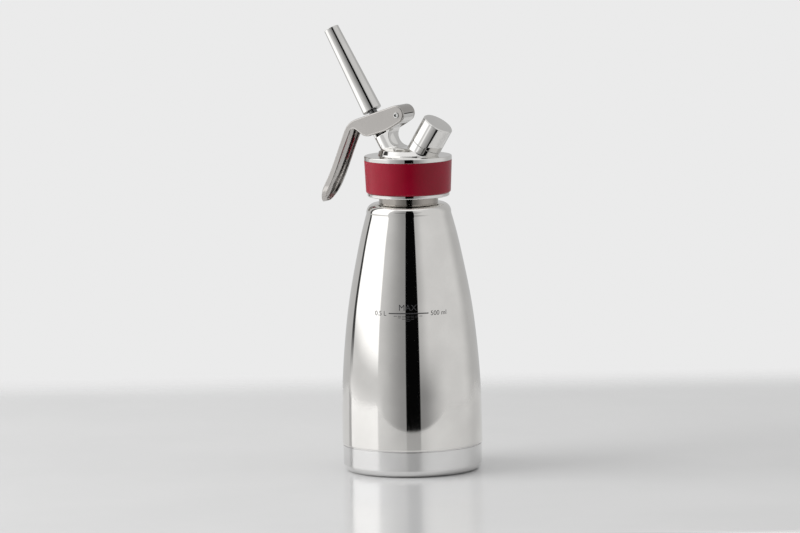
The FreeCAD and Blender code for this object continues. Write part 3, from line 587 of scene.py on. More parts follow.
# ---------------------------------------------------------------- shader graphs
class Value:
    """An output of a shader node that takes part in sums like a number."""

    def __init__(self, graph: "Graph", socket: bpy.types.NodeSocket) -> None:
        """Keeps the node tree's graph and the output socket."""
        self.graph = graph
        self.socket = socket

    def maths(self, operation: str, *others: Union["Value", float]) -> "Value":
        """A Math node's result, with this value first."""
        inputs = dict(enumerate((self,) + others))
        return self.graph.node("ShaderNodeMath", {"operation": operation}, inputs)

    def __add__(self, other: Union["Value", float]) -> "Value":
        """Sum."""
        return self.maths("ADD", other)

    __radd__ = __add__

    def __mul__(self, other: Union["Value", float]) -> "Value":
        """Product."""
        return self.maths("MULTIPLY", other)

    __rmul__ = __mul__

    def __sub__(self, other: Union["Value", float]) -> "Value":
        """Difference."""
        return self.maths("SUBTRACT", other)

    def __rsub__(self, other: float) -> "Value":
        """Difference from a number."""
        return self * -1.0 + other

    def step(self, start: float, end: float) -> "Value":
        """0 before start, 1 after end and a smooth rise between them."""
        settings = {"interpolation_type": "SMOOTHSTEP"}
        return self.graph.node("ShaderNodeMapRange", settings, {0: self, 1: start, 2: end, 3: 0.0, 4: 1.0})


class Graph:
    """A node tree that is written as expressions."""

    def __init__(self, tree: bpy.types.NodeTree) -> None:
        """Starts from an empty tree."""
        self.tree = tree
        tree.nodes.clear()

    def node(self, kind: str, settings: Mapping[str, object], inputs: Mapping[Union[int, str], object],
             output: Union[int, str] = 0) -> Optional[Value]:
        """Adds a node.

        Args:
            kind: the node's type.
            settings: its own settings, which are set first.
            inputs: the value or link of each socket.
            output: the output that is wanted.

        Returns:
            That output, or None for a node without any.
        """
        made = self.tree.nodes.new(kind)
        for name, value in settings.items():
            setattr(made, name, value)
        for key, value in inputs.items():
            if isinstance(value, Value):
                self.tree.links.new(value.socket, made.inputs[key])
            else:
                made.inputs[key].default_value = value
        return Value(self, made.outputs[output]) if made.outputs else None

    def noise(self, place: Value, scale: float, detail: float = 2.0) -> Value:
        """Soft noise between 0 and 1."""
        return self.node("ShaderNodeTexNoise", {}, {"Vector": place, "Scale": scale, "Detail": detail})

    def vector(self, operation: str, *inputs: object, output: int = 0) -> Value:
        """A Vector Math node's result."""
        return self.node("ShaderNodeVectorMath", {"operation": operation}, dict(enumerate(inputs)), output)

    def mix(self, factor: Union[Value, float], start: object, end: object) -> Value:
        """Colour between two others."""
        return self.node("ShaderNodeMix", {"data_type": "RGBA"}, {0: factor, 6: start, 7: end}, 2)

    def along(self, axis: Axis, fine: float, coarse: float) -> Value:
        """Object coordinates drawn out into rings round an axis.

        Args:
            axis: the axis that the rings go round.
            fine: scale along the axis.
            coarse: scale across it.

        Returns:
            The stretched coordinates.
        """
        place = self.node("ShaderNodeTexCoord", {}, {}, "Object")
        way = tuple(axis.way)
        height = self.vector("DOT_PRODUCT", place, way, output=1)
        scale = {"operation": "SCALE"}
        spread = self.node("ShaderNodeVectorMath", scale, {0: way, 3: height * (fine - coarse)})
        base = self.node("ShaderNodeVectorMath", scale, {0: place, 3: coarse})
        return self.vector("ADD", base, spread)

    def principled(self, inputs: Mapping[str, object]) -> None:
        """Ends a material's tree with a Principled shader that has these inputs."""
        surface = self.node("ShaderNodeBsdfPrincipled", {}, inputs)
        self.node("ShaderNodeOutputMaterial", {}, {"Surface": surface})


def opaque(colour: Colour) -> tuple[float, float, float, float]:
    """Colour with full alpha, as sockets take it."""
    return (*colour, 1.0)


def blank_material(name: str) -> tuple[bpy.types.Material, Graph, Value]:
    """Starts a material.

    Args:
        name: the material's name.

    Returns:
        The material, the graph of its empty tree and the object's coordinates.
    """
    made = bpy.data.materials.new(name)
    made.use_nodes = True
    graph = Graph(made.node_tree)
    return made, graph, graph.node("ShaderNodeTexCoord", {}, {}, "Object")


# ---------------------------------------------------------------- finishes
@dataclass(frozen=True)
class Steel:
    """Stainless steel with the marks that its polishing left.

    Args:
        tone: its colour.
        roughness: its mean roughness.
        patchy: how much the roughness varies.
        grain: height of the polishing marks, in millimetres.
        axis: the axis that the marks go round.
        fine: marks per metre along that axis.
        coarse: marks per metre across it.
    """

    tone: Colour
    roughness: float
    patchy: float
    grain: float
    axis: Axis = UPRIGHT
    fine: float = 4000.0
    coarse: float = 30.0

    DETAIL = 3.0
    CLOUD_SCALE = 45.0
    CLOUD_STEP = (0.35, 0.75)
    DULL = 0.93
    LINE_SHARE = 0.6

    def material(self, name: str) -> bpy.types.Material:
        """Makes the material.

        Args:
            name: the material's name.

        Returns:
            The new material.
        """
        made, graph, place = blank_material(name)
        lines = graph.noise(graph.along(self.axis, self.fine, self.coarse), 1.0, self.DETAIL)
        clouds = graph.noise(place, self.CLOUD_SCALE, self.DETAIL)
        rough = self.roughness + self.patchy * (clouds - 0.5) + self.patchy * self.LINE_SHARE * (lines - 0.5)
        dull = opaque(tuple(self.DULL * c for c in self.tone))
        colour = graph.mix(clouds.step(*self.CLOUD_STEP), dull, opaque(self.tone))
        inputs = {"Height": lines, "Strength": 1.0, "Distance": self.grain * MM}
        bump = graph.node("ShaderNodeBump", {}, inputs)
        graph.principled({"Base Color": colour, "Metallic": 1.0, "Roughness": rough, "Normal": bump})
        return made


@dataclass(frozen=True)
class Rubber:
    """Silicone or rubber with a fine moulded skin.

    Args:
        tone: its colour.
        shade: the colour of its darker patches.
        roughness: its mean roughness.
        skin: height of the skin's grain, in millimetres.
        bleed: how far light spreads under the skin, as a share.
        gloss: strength of its highlights.
    """

    tone: Colour
    shade: Colour
    roughness: float
    skin: float = 0.01
    bleed: float = 0.0
    gloss: float = 0.5

    CLOUD_SCALE = 60.0
    CLOUD_DETAIL = 3.0
    CLOUD_STEP = (0.3, 0.7)
    CLOUD_ROUGH = 0.08
    GRAIN_SCALE = 2600.0
    GRAIN_DETAIL = 2.0
    GRAIN_ROUGH = 0.06
    GRAIN_STRENGTH = 0.6
    BLEED_DEPTH = 1.0

    def material(self, name: str) -> bpy.types.Material:
        """Makes the material.

        Args:
            name: the material's name.

        Returns:
            The new material.
        """
        made, graph, place = blank_material(name)
        clouds = graph.noise(place, self.CLOUD_SCALE, self.CLOUD_DETAIL)
        grain = graph.noise(place, self.GRAIN_SCALE, self.GRAIN_DETAIL)
        colour = graph.mix(clouds.step(*self.CLOUD_STEP), opaque(self.shade), opaque(self.tone))
        rough = self.roughness + self.CLOUD_ROUGH * (clouds - 0.5) + self.GRAIN_ROUGH * (grain - 0.5)
        bump = graph.node("ShaderNodeBump", {}, {
            "Height": grain, "Strength": self.GRAIN_STRENGTH, "Distance": self.skin * MM,
        })
        graph.principled({
            "Base Color": colour, "Roughness": rough, "Normal": bump, "Subsurface Weight": self.bleed,
            "Subsurface Scale": self.BLEED_DEPTH * MM, "Specular IOR Level": self.gloss,
        })
        return made


# finishes that have no slot of their own in the record
SHARED_SLOTS = {"PRINT": "polished_steel", "NECK_STEEL": "flask_steel"}


class Finish(Enum):
    """The finishes of the dispenser, named for the record's slots unless SHARED_SLOTS gives another slot."""

    POLISHED_STEEL = Steel((0.83, 0.815, 0.79), 0.045, 0.02, 0.0004)
    FLASK_STEEL = Steel((0.66, 0.66, 0.66), 0.28, 0.08, 0.004)
    SATIN_STEEL = Steel((0.80, 0.795, 0.79), 0.17, 0.05, 0.0012)
    POLISHED_HEAD = Steel((0.83, 0.82, 0.80), 0.05, 0.02, 0.0003)
    POLISHED_CAP = Steel((0.82, 0.81, 0.79), 0.035, 0.01, 0.0002, PORT)
    LEVER_STEEL = Steel((0.53, 0.51, 0.49), 0.09, 0.02, 0.0003, SPOUT, 900.0, 250.0)
    NOZZLE_STEEL = Steel((0.78, 0.77, 0.75), 0.09, 0.02, 0.0001, SPOUT, 1500.0)
    # VALVE_STEEL's near-black tone is painted shade: the spindle's steel is darkened to stand for the shadow
    # and dark reflection it shows under the nozzle
    VALVE_STEEL = Steel((0.16, 0.16, 0.16), 0.20, 0.04, 0.001, SPOUT)
    PORT_STEEL = Steel((0.68, 0.68, 0.68), 0.20, 0.05, 0.002, PORT)
    PIN_STEEL = Steel((0.70, 0.70, 0.69), 0.15, 0.04, 0.001)
    SPRING_STEEL = Steel((0.50, 0.50, 0.51), 0.25, 0.05, 0.002, SPOUT)
    GETTER_POWDER = Steel((0.25, 0.25, 0.25), 0.60, 0.10, 0.02)
    SINTERED_BRONZE = Steel((0.50, 0.38, 0.22), 0.50, 0.15, 0.02)
    RED_SILICONE = Rubber((0.31, 0.0, 0.020), (0.28, 0.0, 0.016), 0.32, 0.004, 0.0, 0.3)
    CLEAR_SILICONE = Rubber((0.80, 0.80, 0.78), (0.72, 0.72, 0.70), 0.40, 0.004, 0.30)
    BLACK_RUBBER = Rubber((0.030, 0.030, 0.030), (0.022, 0.022, 0.022), 0.50)
    SEAL_GLASS = Rubber((0.20, 0.20, 0.22), (0.16, 0.16, 0.18), 0.12)
    # dark brown tone is painted shade: the neck ring's steel is darkened to stand for the shade in the recess
    # under the head
    NECK_STEEL = Steel((0.42, 0.39, 0.36), 0.12, 0.03, 0.0006)
    PRINT = Rubber((0.045, 0.045, 0.048), (0.035, 0.035, 0.038), 0.45, 0.002)

    @property
    def slot(self) -> str:
        """The record's slot that has this finish."""
        return SHARED_SLOTS.get(self.name, self.name.lower())

    def material(self) -> bpy.types.Material:
        """The finish's material, made when it is first asked for."""
        name = self.name.lower() + "_finish"
        return bpy.data.materials.get(name) or self.value.material(name)


def dress(piece: bpy.types.Object, finish: Finish) -> bpy.types.Object:
    """Gives a piece one finish.

    Args:
        piece: the piece.
        finish: what it is made of.

    Returns:
        The same piece.
    """
    piece.data.materials.clear()
    piece.data.materials.append(finish.material())
    return piece


def settle(piece: bpy.types.Object, finish: Finish, body: str, *nodes: str) -> bpy.types.Object:
    """Dresses a new piece, puts it on its body and lets it stand for CAD nodes.

    Args:
        piece: the new piece.
        finish: what it is made of.
        body: the body that carries it.
        nodes: the CAD nodes that it replaces.

    Returns:
        The same piece.
    """
    dress(piece, finish)
    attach(piece, body)
    if nodes:
        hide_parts(*nodes)
    log.info("%s: %d faces on %s", piece.name, len(piece.data.polygons), body)
    return piece


# ---------------------------------------------------------------- sub-assemblies
@dataclass
class Flask:
    """Double-walled flask: the polished wall and the cup under it."""

    sheet: float = 0.8
    wall_bottom: Point2 = (49.6, 18.8)
    wall: tuple[Point2, ...] = ((49.5, 35.0), (48.75, 63.0), (46.6, 92.0), (43.1, 120.5), (37.8, 149.0),
                                (33.1, 170.4))
    shoulder: tuple[Point2, Point2, Point2] = ((29.9, 182.2), (28.6, 186.9), (25.4, 189.2))
    neck_hole: float = 20.92
    shoulder_top: float = 189.7
    edge: float = 0.35
    cup_radius: float = 49.0
    cup_top: float = 18.2
    cup_corner: float = 5.0
    cup_wall: float = 0.9
    cup_steps: int = 10
    foot_inner: float = 33.0
    foot_recess: float = 2.2
    foot_rounds: Point2 = (0.6, 0.4)
    collar_radius: float = 48.7
    collar_top: float = 20.9
    collar_rounds: Point2 = (0.05, 0.1)
    top_run: Point2 = (1.0, 0.02)
    side_steps: int = 14
    shoulder_steps: int = 12
    sides: int = 256

    def outer_line(self) -> np.ndarray:
        """Outer line of the wall from its lower edge to the neck's hole."""
        side = spline((self.wall_bottom,) + self.wall + (self.shoulder[0],), self.side_steps)
        turn = arc_through(*self.shoulder, self.shoulder_steps)
        run, fall = self.top_run
        hole = np.array([self.neck_hole, self.shoulder_top])
        return np.concatenate([side, turn[1:], [hole + (run, -fall), hole]])

    def make_wall(self) -> None:
        """Polished outer wall."""
        outer = self.outer_line()
        lower = np.array([[self.wall_bottom[0] - self.edge, self.wall_bottom[1]]])
        outer[0, 1] += self.edge
        inner = offset_line(outer, self.sheet)[::-1]
        outline = np.concatenate([lower, outer, inner])
        wall = turned("flask_wall", outline, UPRIGHT, self.sides)
        settle(wall, Finish.POLISHED_STEEL, "bottle", "outer_shell")

    def make_cup(self) -> None:
        """Satin cup with its ring foot and the collar that plugs into the wall."""
        inner = self.cup_radius - self.cup_wall
        recess = self.foot_inner - self.foot_recess
        step = self.cup_wall
        under, over = self.foot_rounds
        seam, rim = self.collar_rounds
        outline = rounded([
            (0.0, self.foot_recess, 0.0),
            (recess, self.foot_recess, under),
            (self.foot_inner, 0.0, under),
            (self.cup_radius, 0.0, self.cup_corner),
            (self.cup_radius, self.cup_top, self.edge),
            (self.collar_radius, self.cup_top, seam),
            (self.collar_radius, self.collar_top, rim),
            (self.collar_radius - step, self.collar_top, rim),
            (inner - step, step, self.cup_corner - step),
            (self.foot_inner + step, step, over),
            (recess, self.foot_recess + step, over),
            (0.0, self.foot_recess + step, 0.0),
        ], self.cup_steps)
        cup = turned("flask_cup", outline, UPRIGHT, self.sides)
        settle(cup, Finish.SATIN_STEEL, "bottle", "base_cup")

    def make(self) -> None:
        """Builds the flask's pieces."""
        self.make_wall()
        self.make_cup()


@dataclass
class FillMark:
    """Generic fill mark printed on the flask's front: a line, two capacities and a few ticks.

    Args:
        flask: the flask that it is printed on.
    """

    flask: Flask
    azimuth: float = 28.1
    height: float = 115.9
    line_half: float = 14.2
    line_width: float = 0.75
    film: float = 0.03
    letter: float = 4.2
    small_letter: float = 3.2
    text_x: float = 20.5
    max_rise: float = 2.0
    tick_rows: tuple[tuple[float, float], ...] = ((-2.0, 10.5), (-3.1, 7.6), (-4.2, 4.6), (-5.3, 1.8))
    tick_pitch: float = 1.5
    tick_gap: float = 0.7
    tick_height: float = 0.32
    strip: float = 0.8
    max_x: float = -0.6
    millilitre_shift: float = 1.5

    CAPITALS = 0.7  # height of a capital as a share of the font's size

    def wrap(self, points: np.ndarray) -> np.ndarray:
        """Puts drawing points on the flask's wall.

        Args:
            points: how far across, up and out of the mark's middle each point lies, in millimetres.

        Returns:
            Their places in millimetres.
        """
        line = self.flask.outer_line()
        heights = self.height + points[:, 1]
        radii = np.interp(heights, line[:, 1], line[:, 0])
        angles = math.radians(self.azimuth - 90.0) + points[:, 0] / radii
        reach = radii + points[:, 2]
        return np.stack([reach * np.cos(angles), reach * np.sin(angles), heights], axis=1)

    def bar(self, left: float, right: float, low: float, high: float) -> tuple[np.ndarray, list[list[int]]]:
        """Flat printed bar as a closed strip of the film's height.

        Args:
            left: its left end.
            right: its right end.
            low: its lower edge.
            high: its upper edge.

        Returns:
            Its drawing points and faces.
        """
        steps = max(2, int((right - left) / self.strip) + 1)
        points = []
        for x in np.linspace(left, right, steps):
            for y, z in ((low, -self.film), (high, -self.film), (high, self.film), (low, self.film)):
                points.append((x, y, z))
        faces = [[0, 1, 2, 3], [4 * steps - 1, 4 * steps - 2, 4 * steps - 3, 4 * steps - 4]]
        for i in range(steps - 1):
            for k in range(4):
                n = (k + 1) % 4
                faces.append([4 * i + k, 4 * i + 4 + k, 4 * i + 4 + n, 4 * i + n])
        return np.array(points), faces

    def make_lines(self) -> None:
        """The fill line and the rows of ticks below it."""
        bars = [self.bar(-self.line_half, self.line_half, -self.line_width / 2, self.line_width / 2)]
        for rise, half in self.tick_rows:
            count = max(1, round(half / self.tick_pitch))
            width = 2 * half / count
            for i in range(count):
                left = -half + i * width
                bars.append(self.bar(left, left + width - self.tick_gap, rise, rise + self.tick_height))
        points, faces = [], []
        for corners, sides in bars:
            start = sum(len(p) for p in points)
            points.append(self.wrap(corners))
            faces += [[start + n for n in side] for side in sides]
        mark = piece_from("fill_line", np.concatenate(points) * MM, faces)
        mark.data.shade_flat()
        settle(mark, Finish.PRINT, "bottle")

    def make_word(self, name: str, text: str, size: float, x: float, y: float) -> None:
        """Prints a short generic text.

        Args:
            name: the piece's name.
            text: what it says.
            size: height of its capitals, in millimetres.
            x: its middle, across from the mark's middle.
            y: its baseline above the fill line.
        """
        curve = bpy.data.curves.new(name, "FONT")
        curve.body = text
        curve.align_x = "CENTER"
        curve.size = size / self.CAPITALS
        curve.extrude = self.film
        holder = bpy.data.objects.new(name, curve)
        bpy.context.scene.collection.objects.link(holder)
        bpy.context.view_layer.update()
        mesh = bpy.data.meshes.new_from_object(holder)
        bpy.data.objects.remove(holder)
        work = bmesh.new()
        work.from_mesh(mesh)
        bmesh.ops.remove_doubles(work, verts=work.verts, dist=1e-4)
        bmesh.ops.triangulate(work, faces=work.faces)
        work.to_mesh(mesh)
        work.free()
        points = np.array([v.co for v in mesh.vertices])
        points[:, 0] += x
        points[:, 1] += y
        wrapped = self.wrap(points) * MM
        for vertex, place in zip(mesh.vertices, wrapped):
            vertex.co = place
        word = bpy.data.objects.new(name, mesh)
        bpy.context.scene.collection.objects.link(word)
        settle(word, Finish.PRINT, "bottle")

    def make(self) -> None:
        """Prints the mark."""
        self.make_lines()
        small, drop = self.small_letter, -self.small_letter / 2
        self.make_word("mark_max", "MAX", self.letter, self.max_x, self.max_rise)
        self.make_word("mark_litre", "0.5 L", small, -self.text_x, drop)
        self.make_word("mark_millilitre", "500 ml", small, self.text_x + self.millilitre_shift, drop)


@dataclass
class Head:
    """Cast and turned head with its silicone band and the lever's pin."""

    top: float = 223.0
    rim_radius: float = 30.95
    rim_height: float = 3.1
    rim_round: float = 0.8
    seat_radius: float = 27.3
    band_bottom: float = 196.7
    band_low_radius: float = 29.9
    band_gap: float = 0.02
    bottom: float = 194.2
    lower_radius: float = 28.9
    bore: float = 22.7
    ceiling: float = 216.5
    plinth_x: float = -0.5
    plinth: tuple[Point3, ...] = ((22.4, 17.5, -0.8), (22.0, 16.6, 0.7), (21.4, 14.0, 3.4), (20.9, 11.0, 5.0),
                                  (20.6, 9.6, 6.6))
    plinth_edge: float = 0.6
    plinth_scale: float = 0.7
    crown: Point2 = (-3.0, 228.9)
    crown_radius: float = 52.0
    spout_radius: float = 7.25
    spout_foot: float = 12.0
    spout_top: float = 38.0
    lip_top: float = 42.6
    lip_inner: float = 6.2
    lip_half: float = 5.4
    lip_sunk: float = 1.0
    lip_edge: float = 0.3
    lip_fillet: float = 0.1
    spring_bore: float = 4.7
    spring_seat: float = 31.0
    boss_radius: float = 11.0
    boss_foot: float = 8.0
    boss_top: float = 28.35
    port_hole: float = 8.6
    port_floor: float = 22.0
    post_half: float = 7.1
    post: tuple[Point2, ...] = ((-18.8, 236.8), (-13.4, 239.9), (-17.4, 246.6), (-4.0, 251.7), (-1.4, 246.87),
                                (-9.5, 242.45), (-6.0, 237.2), (-3.5, 223.5), (-16.0, 223.5))
    crescent: Point2 = (-3.4, 237.2)
    crescent_radius: float = 7.9
    crescent_edge: float = 0.4
    post_edge: float = 0.5
    web_room: tuple[Point2, ...] = ((1.0, 11.0), (1.5, 60.0), (1.5, 130.0), (1.0, 195.0))
    web_edge: float = 0.35
    knuckle: float = 5.5
    knuckle_core: float = 4.1
    core_edge: float = 0.4
    core_fillet: float = 0.2
    knuckle_fillet: float = 0.4
    fillet: float = 0.5
    hole_edge: float = 0.3
    foot_edge: float = 0.2
    sunk: float = 0.4
    pin_radius: float = 2.05
    pin_half: float = 9.4
    pin_hollow: Point2 = (1.15, 1.2)
    sides: int = 256
    quad: float = 0.3
    space: tuple[Point3, Point3] = ((-26.0, -18.5, 221.5), (33.0, 18.5, 260.0))

    def plinth_form(self) -> Form:
        """Raised oval under the spout and the port."""
        heights = [ring[2] + self.top for ring in self.plinth]
        lengths = [ring[0] for ring in self.plinth]
        widths = [ring[1] for ring in self.plinth]

        def distance(points: np.ndarray) -> np.ndarray:
            """Distance from the rising oval, scaled down to stay below the true one."""
            length = np.interp(points[:, 2], heights, lengths)
            width = np.interp(points[:, 2], heights, widths)
            reach = np.hypot((points[:, 0] - self.plinth_x) / length, points[:, 1] / width)
            return self.plinth_scale * (reach - 1) * width
        centre = self.crown[1] - self.crown_radius

        def arch(points: np.ndarray) -> np.ndarray:
            """Distance from the arched top."""
            return np.hypot(points[:, 0] - self.crown[0], points[:, 2] - centre) - self.crown_radius
        return Form(distance).within(Form(arch), self.plinth_edge)

    def lip_form(self) -> Form:
        """Lip of the spout boss in front of the spindle's collar."""
        foot = self.spout_top - self.lip_sunk
        ring = rod(SPOUT, [(self.lip_inner, foot), (self.spout_radius, foot),
                           (self.spout_radius, self.lip_top), (self.lip_inner, self.lip_top)])
        front = Form(lambda points: np.maximum(SPOUT.ahead(points), np.abs(points[:, 1]) - self.lip_half))
        return ring.within(front, self.lip_edge)

    def post_form(self) -> Form:
        """Post that carries the pivot, with its crescent-shaped back."""
        body = side_plate(self.post, self.post_half, self.post_edge)
        body = body.without(side_disc(self.crescent, self.crescent_radius, BEYOND, 0.0), self.crescent_edge)
        under_web = [PIVOT] + [around(PIVOT, BEYOND * reach, degrees) for reach, degrees in self.web_room]
        step = side_disc(PIVOT, self.knuckle, self.post_half, self.post_edge)
        step = step.without(side_plate(under_web, BEYOND, 0.0), self.web_edge)
        core = side_disc(PIVOT, self.knuckle_core, self.post_half, self.core_edge)
        return body.joined(step.joined(core, self.core_fillet), self.knuckle_fillet)

    def casting_form(self) -> Form:
        """Plinth, spout boss, post and port boss, in one soft-edged piece that stands in the plate."""
        form = self.plinth_form()
        for part in (cylinder(SPOUT, self.spout_radius, self.spout_foot, self.spout_top), self.post_form(),
                     cylinder(PORT, self.boss_radius, self.boss_foot, self.boss_top)):
            form = form.joined(part, self.fillet)
        form = form.joined(self.lip_form(), self.lip_fillet)
        for hole in (cylinder(SPOUT, self.spring_bore, self.spring_seat, OPEN_TOP),
                     cylinder(PORT, self.port_hole, self.port_floor, OPEN_TOP)):
            form = form.without(hole, self.hole_edge)
        return form.within(above(self.top - self.sunk), self.foot_edge)

    def make_casting(self) -> None:
        """Bosses and post on the plate."""
        net = Net(self.casting_form(), *self.space, self.quad)
        settle(net.piece("head_casting"), Finish.POLISHED_HEAD, "head", "head_body")

    def make_shell(self) -> None:
        """Turned part of the head: the plate, the seat behind the band and the lower rim."""
        rim_bottom = self.top - self.rim_height
        outline = rounded([
            (self.bore, self.ceiling, 0.3),
            (self.bore, self.bottom, 0.6),
            (self.lower_radius, self.bottom, 1.0),
            (self.lower_radius, self.band_bottom, 0.3),
            (self.seat_radius, self.band_bottom, 0.2),
            (self.seat_radius, rim_bottom, 0.2),
            (self.rim_radius, rim_bottom, 0.15),
            (self.rim_radius, self.top, self.rim_round),
            (0.0, self.top, 0.0),
            (0.0, self.ceiling, 0.0),
        ], 8)
        shell = turned("head_shell", outline, UPRIGHT, self.sides)
        settle(shell, Finish.POLISHED_HEAD, "head", "head_body")

    def make_band(self) -> None:
        """Silicone band, slightly tapered."""
        top = self.top - self.rim_height - self.band_gap
        low = self.band_bottom + self.band_gap
        inner = self.seat_radius + self.band_gap
        outline = rounded([
            (inner, low, 0.1),
            (self.band_low_radius, low, 1.4),
            (self.rim_radius, top, 0.3),
            (inner, top, 0.1),
        ], 8)
        settle(turned("grip_ring", outline), Finish.RED_SILICONE, "head", "grip_band")

    def make_pin(self) -> None:
        """Pivot pin with rounded, hollow ends."""
        half, radius = self.pin_half, self.pin_radius
        hollow, depth = self.pin_hollow
        outline = rounded([
            (0.0, depth - half, 0.0),
            (hollow, depth - half, 0.1),
            (hollow, -half, 0.25),
            (radius, -half, 0.45),
            (radius, half, 0.45),
            (hollow, half, 0.25),
            (hollow, half - depth, 0.1),
            (0.0, half - depth, 0.0),
        ])
        pin = turned("pivot_pin", outline, UPRIGHT, 48)
        turn = Matrix.Rotation(math.radians(90), 4, "X")
        pin.data.transform(Matrix.Translation(Vector((PIVOT[0] * MM, 0, PIVOT[1] * MM))) @ turn)
        settle(pin, Finish.PIN_STEEL, "head", "lever_pin")

    def make(self) -> None:
        """Builds the head's pieces."""
        self.make_casting()
        self.make_shell()
        self.make_band()
        self.make_pin()


@dataclass
class Lever:
    """Cast lever: an upside-down channel with two cheeks, an elbow and a hollow grip."""

    half: float = 9.0
    cheek: float = 1.6
    web: float = 1.8
    knuckle_at: Point2 = (-4.8, 252.3)
    knuckle: float = 6.3
    room: float = 4.5
    edge: float = 0.9
    slope: float = 18.7
    top_length: float = 31.5
    elbow: tuple[Point2, Point2] = ((-43.2, 244.5), (-47.1, 238.5))
    grip_outer: tuple[Point2, ...] = ((-55.2, 218.6), (-60.2, 207.3), (-65.0, 198.2), (-69.6, 186.9))
    grip_inner: tuple[Point2, ...] = ((-65.6, 188.3), (-59.4, 198.9), (-53.5, 211.4), (-47.4, 226.5),
                                      (-43.2, 236.0), (-41.8, 239.2))
    crotch: tuple[Point2, Point2] = ((-39.9, 240.8), (-37.6, 240.4))
    bulge: tuple[Point2, Point2, Point2] = ((-33.6, 237.75), (-29.4, 236.05), (-24.5, 236.95))
    cheek_middle: Point2 = (-12.6, 240.75)
    cheek_angle: float = -62.0
    tip_low: float = 187.1
    tip_length: float = 13.0
    slit_angle: float = 15.0
    lug_radius: float = 2.2
    lug_height: float = 46.0
    lug_reach: float = 4.0
    lug_edge: float = 0.3
    slot_half: float = 4.9
    slot_reach: float = 5.6
    slot_depth: float = 10.0
    pin_radius: float = 2.05
    tip_scale: float = 0.8
    hollow_edge: float = 1.0
    hollow_tip_edge: float = 0.8
    inner_edge: float = 0.35
    slot_edge: float = 0.3
    pin_edge: float = 0.15
    quad: float = 0.45
    space: tuple[Point3, Point3] = ((-72.5, -10.0, 185.0), (4.5, 10.0, 260.0))

    def outer_line(self) -> np.ndarray:
        """Top of the cheeks, elbow and outer line of the grip, from the knuckle to the tip."""
        slope = math.radians(self.slope)
        way = np.array([-math.cos(slope), -math.sin(slope)])
        top = np.array(around(self.knuckle_at, self.knuckle, 90 + self.slope))
        elbow_start = top + self.top_length * way
        elbow_end = self.elbow[1]
        grip_way = (self.grip_outer[0][0] - elbow_end[0], self.grip_outer[0][1] - elbow_end[1])
        straight = np.linspace(top, elbow_start, 4)
        bend = spline([tuple(elbow_start), *self.elbow], 10, tuple(way), grip_way)
        end_way = np.subtract(self.grip_outer[-1], self.grip_outer[-2])
        grip = spline([elbow_end, *self.grip_outer], 8, grip_way, tuple(end_way))
        return np.concatenate([straight, bend[1:], grip[1:]])

    def side_outline(self) -> np.ndarray:
        """Closed side view of the lever."""
        low, back, top = (around(self.knuckle_at, self.knuckle, degrees)
                          for degrees in (self.cheek_angle, 20, 90 + self.slope))
        knuckle = arc_through(low, back, top, 20)
        inner = spline(list(self.grip_inner), 6)
        crotch = arc_through(self.grip_inner[-1], *self.crotch, 6)
        bulge = arc_through(*self.bulge, 10)
        cheek = spline([self.bulge[-1], self.cheek_middle, low], 8)
        return np.concatenate([self.outer_line(), inner, crotch[1:], bulge, cheek[1:], knuckle[1:-1]])

    def tip_form(self, inset: float) -> Form:
        """Rounds the grip's tip as seen from the front.

        Args:
            inset: how far inside the lever's own outline the surface lies.

        Returns:
            Everything inside the rounded outline.
        """
        half = self.half - inset
        length = self.tip_length - inset
        centre = self.tip_low + self.tip_length

        def distance(points: np.ndarray) -> np.ndarray:
            """Distance from the round end, scaled down to stay below the true one."""
            drop = np.maximum(centre - points[:, 2], 0) / length
            return self.tip_scale * (np.hypot(points[:, 1] / half, drop) - 1) * half
        return Form(distance)

    def hollow_form(self) -> Form:
        """Space inside the lever."""
        inside = offset_line(self.outer_line(), self.web)
        far = 3 * self.half
        low = inside[-1]
        below = self.tip_low - far
        back = around(PIVOT, far, self.slit_angle)
        round_end = arc_through(*(around(PIVOT, self.room, degrees)
                                  for degrees in (self.slit_angle, 60, 90 + self.slope)), 10)
        outline = np.concatenate([inside, [[low[0] - 2, below], [back[0], below], back], round_end])
        space = side_plate(outline, self.half - self.cheek, self.hollow_edge)
        return space.within(self.tip_form(self.cheek), self.hollow_tip_edge)

    def form(self) -> Form:
        """The whole lever."""
        block = side_plate(self.side_outline(), self.half, self.edge).within(self.tip_form(0.0), self.edge)
        body = block.without(self.hollow_form(), self.inner_edge)

        def slot(points: np.ndarray) -> np.ndarray:
            """Distance from the box that lets the spindle through."""
            along = (points - SPOUT.at(self.lug_height + self.slot_depth)) @ SPOUT.way
            reach = np.abs(SPOUT.ahead(points)) - self.slot_reach
            sides = np.maximum(reach, np.abs(points[:, 1]) - self.slot_half)
            return np.maximum(sides, np.abs(along) - self.slot_depth)
        body = body.without(Form(slot), self.slot_edge)
        lug_at = SPOUT.at(self.lug_height)
        lug = side_disc((lug_at[0], lug_at[2]), self.lug_radius, self.half - self.cheek / 2, self.lug_edge)
        inner = self.half - self.cheek - self.lug_reach
        lug = lug.without(Form(lambda points: np.abs(points[:, 1]) - inner), self.lug_edge)
        body = body.joined(lug, self.lug_edge)
        return body.without(side_disc(PIVOT, self.pin_radius, BEYOND, 0.0), self.pin_edge)

    def make(self) -> None:
        """Builds the lever."""
        net = Net(self.form(), *self.space, self.quad)
        settle(net.piece("lever_arm"), Finish.LEVER_STEEL, "lever", "lever")


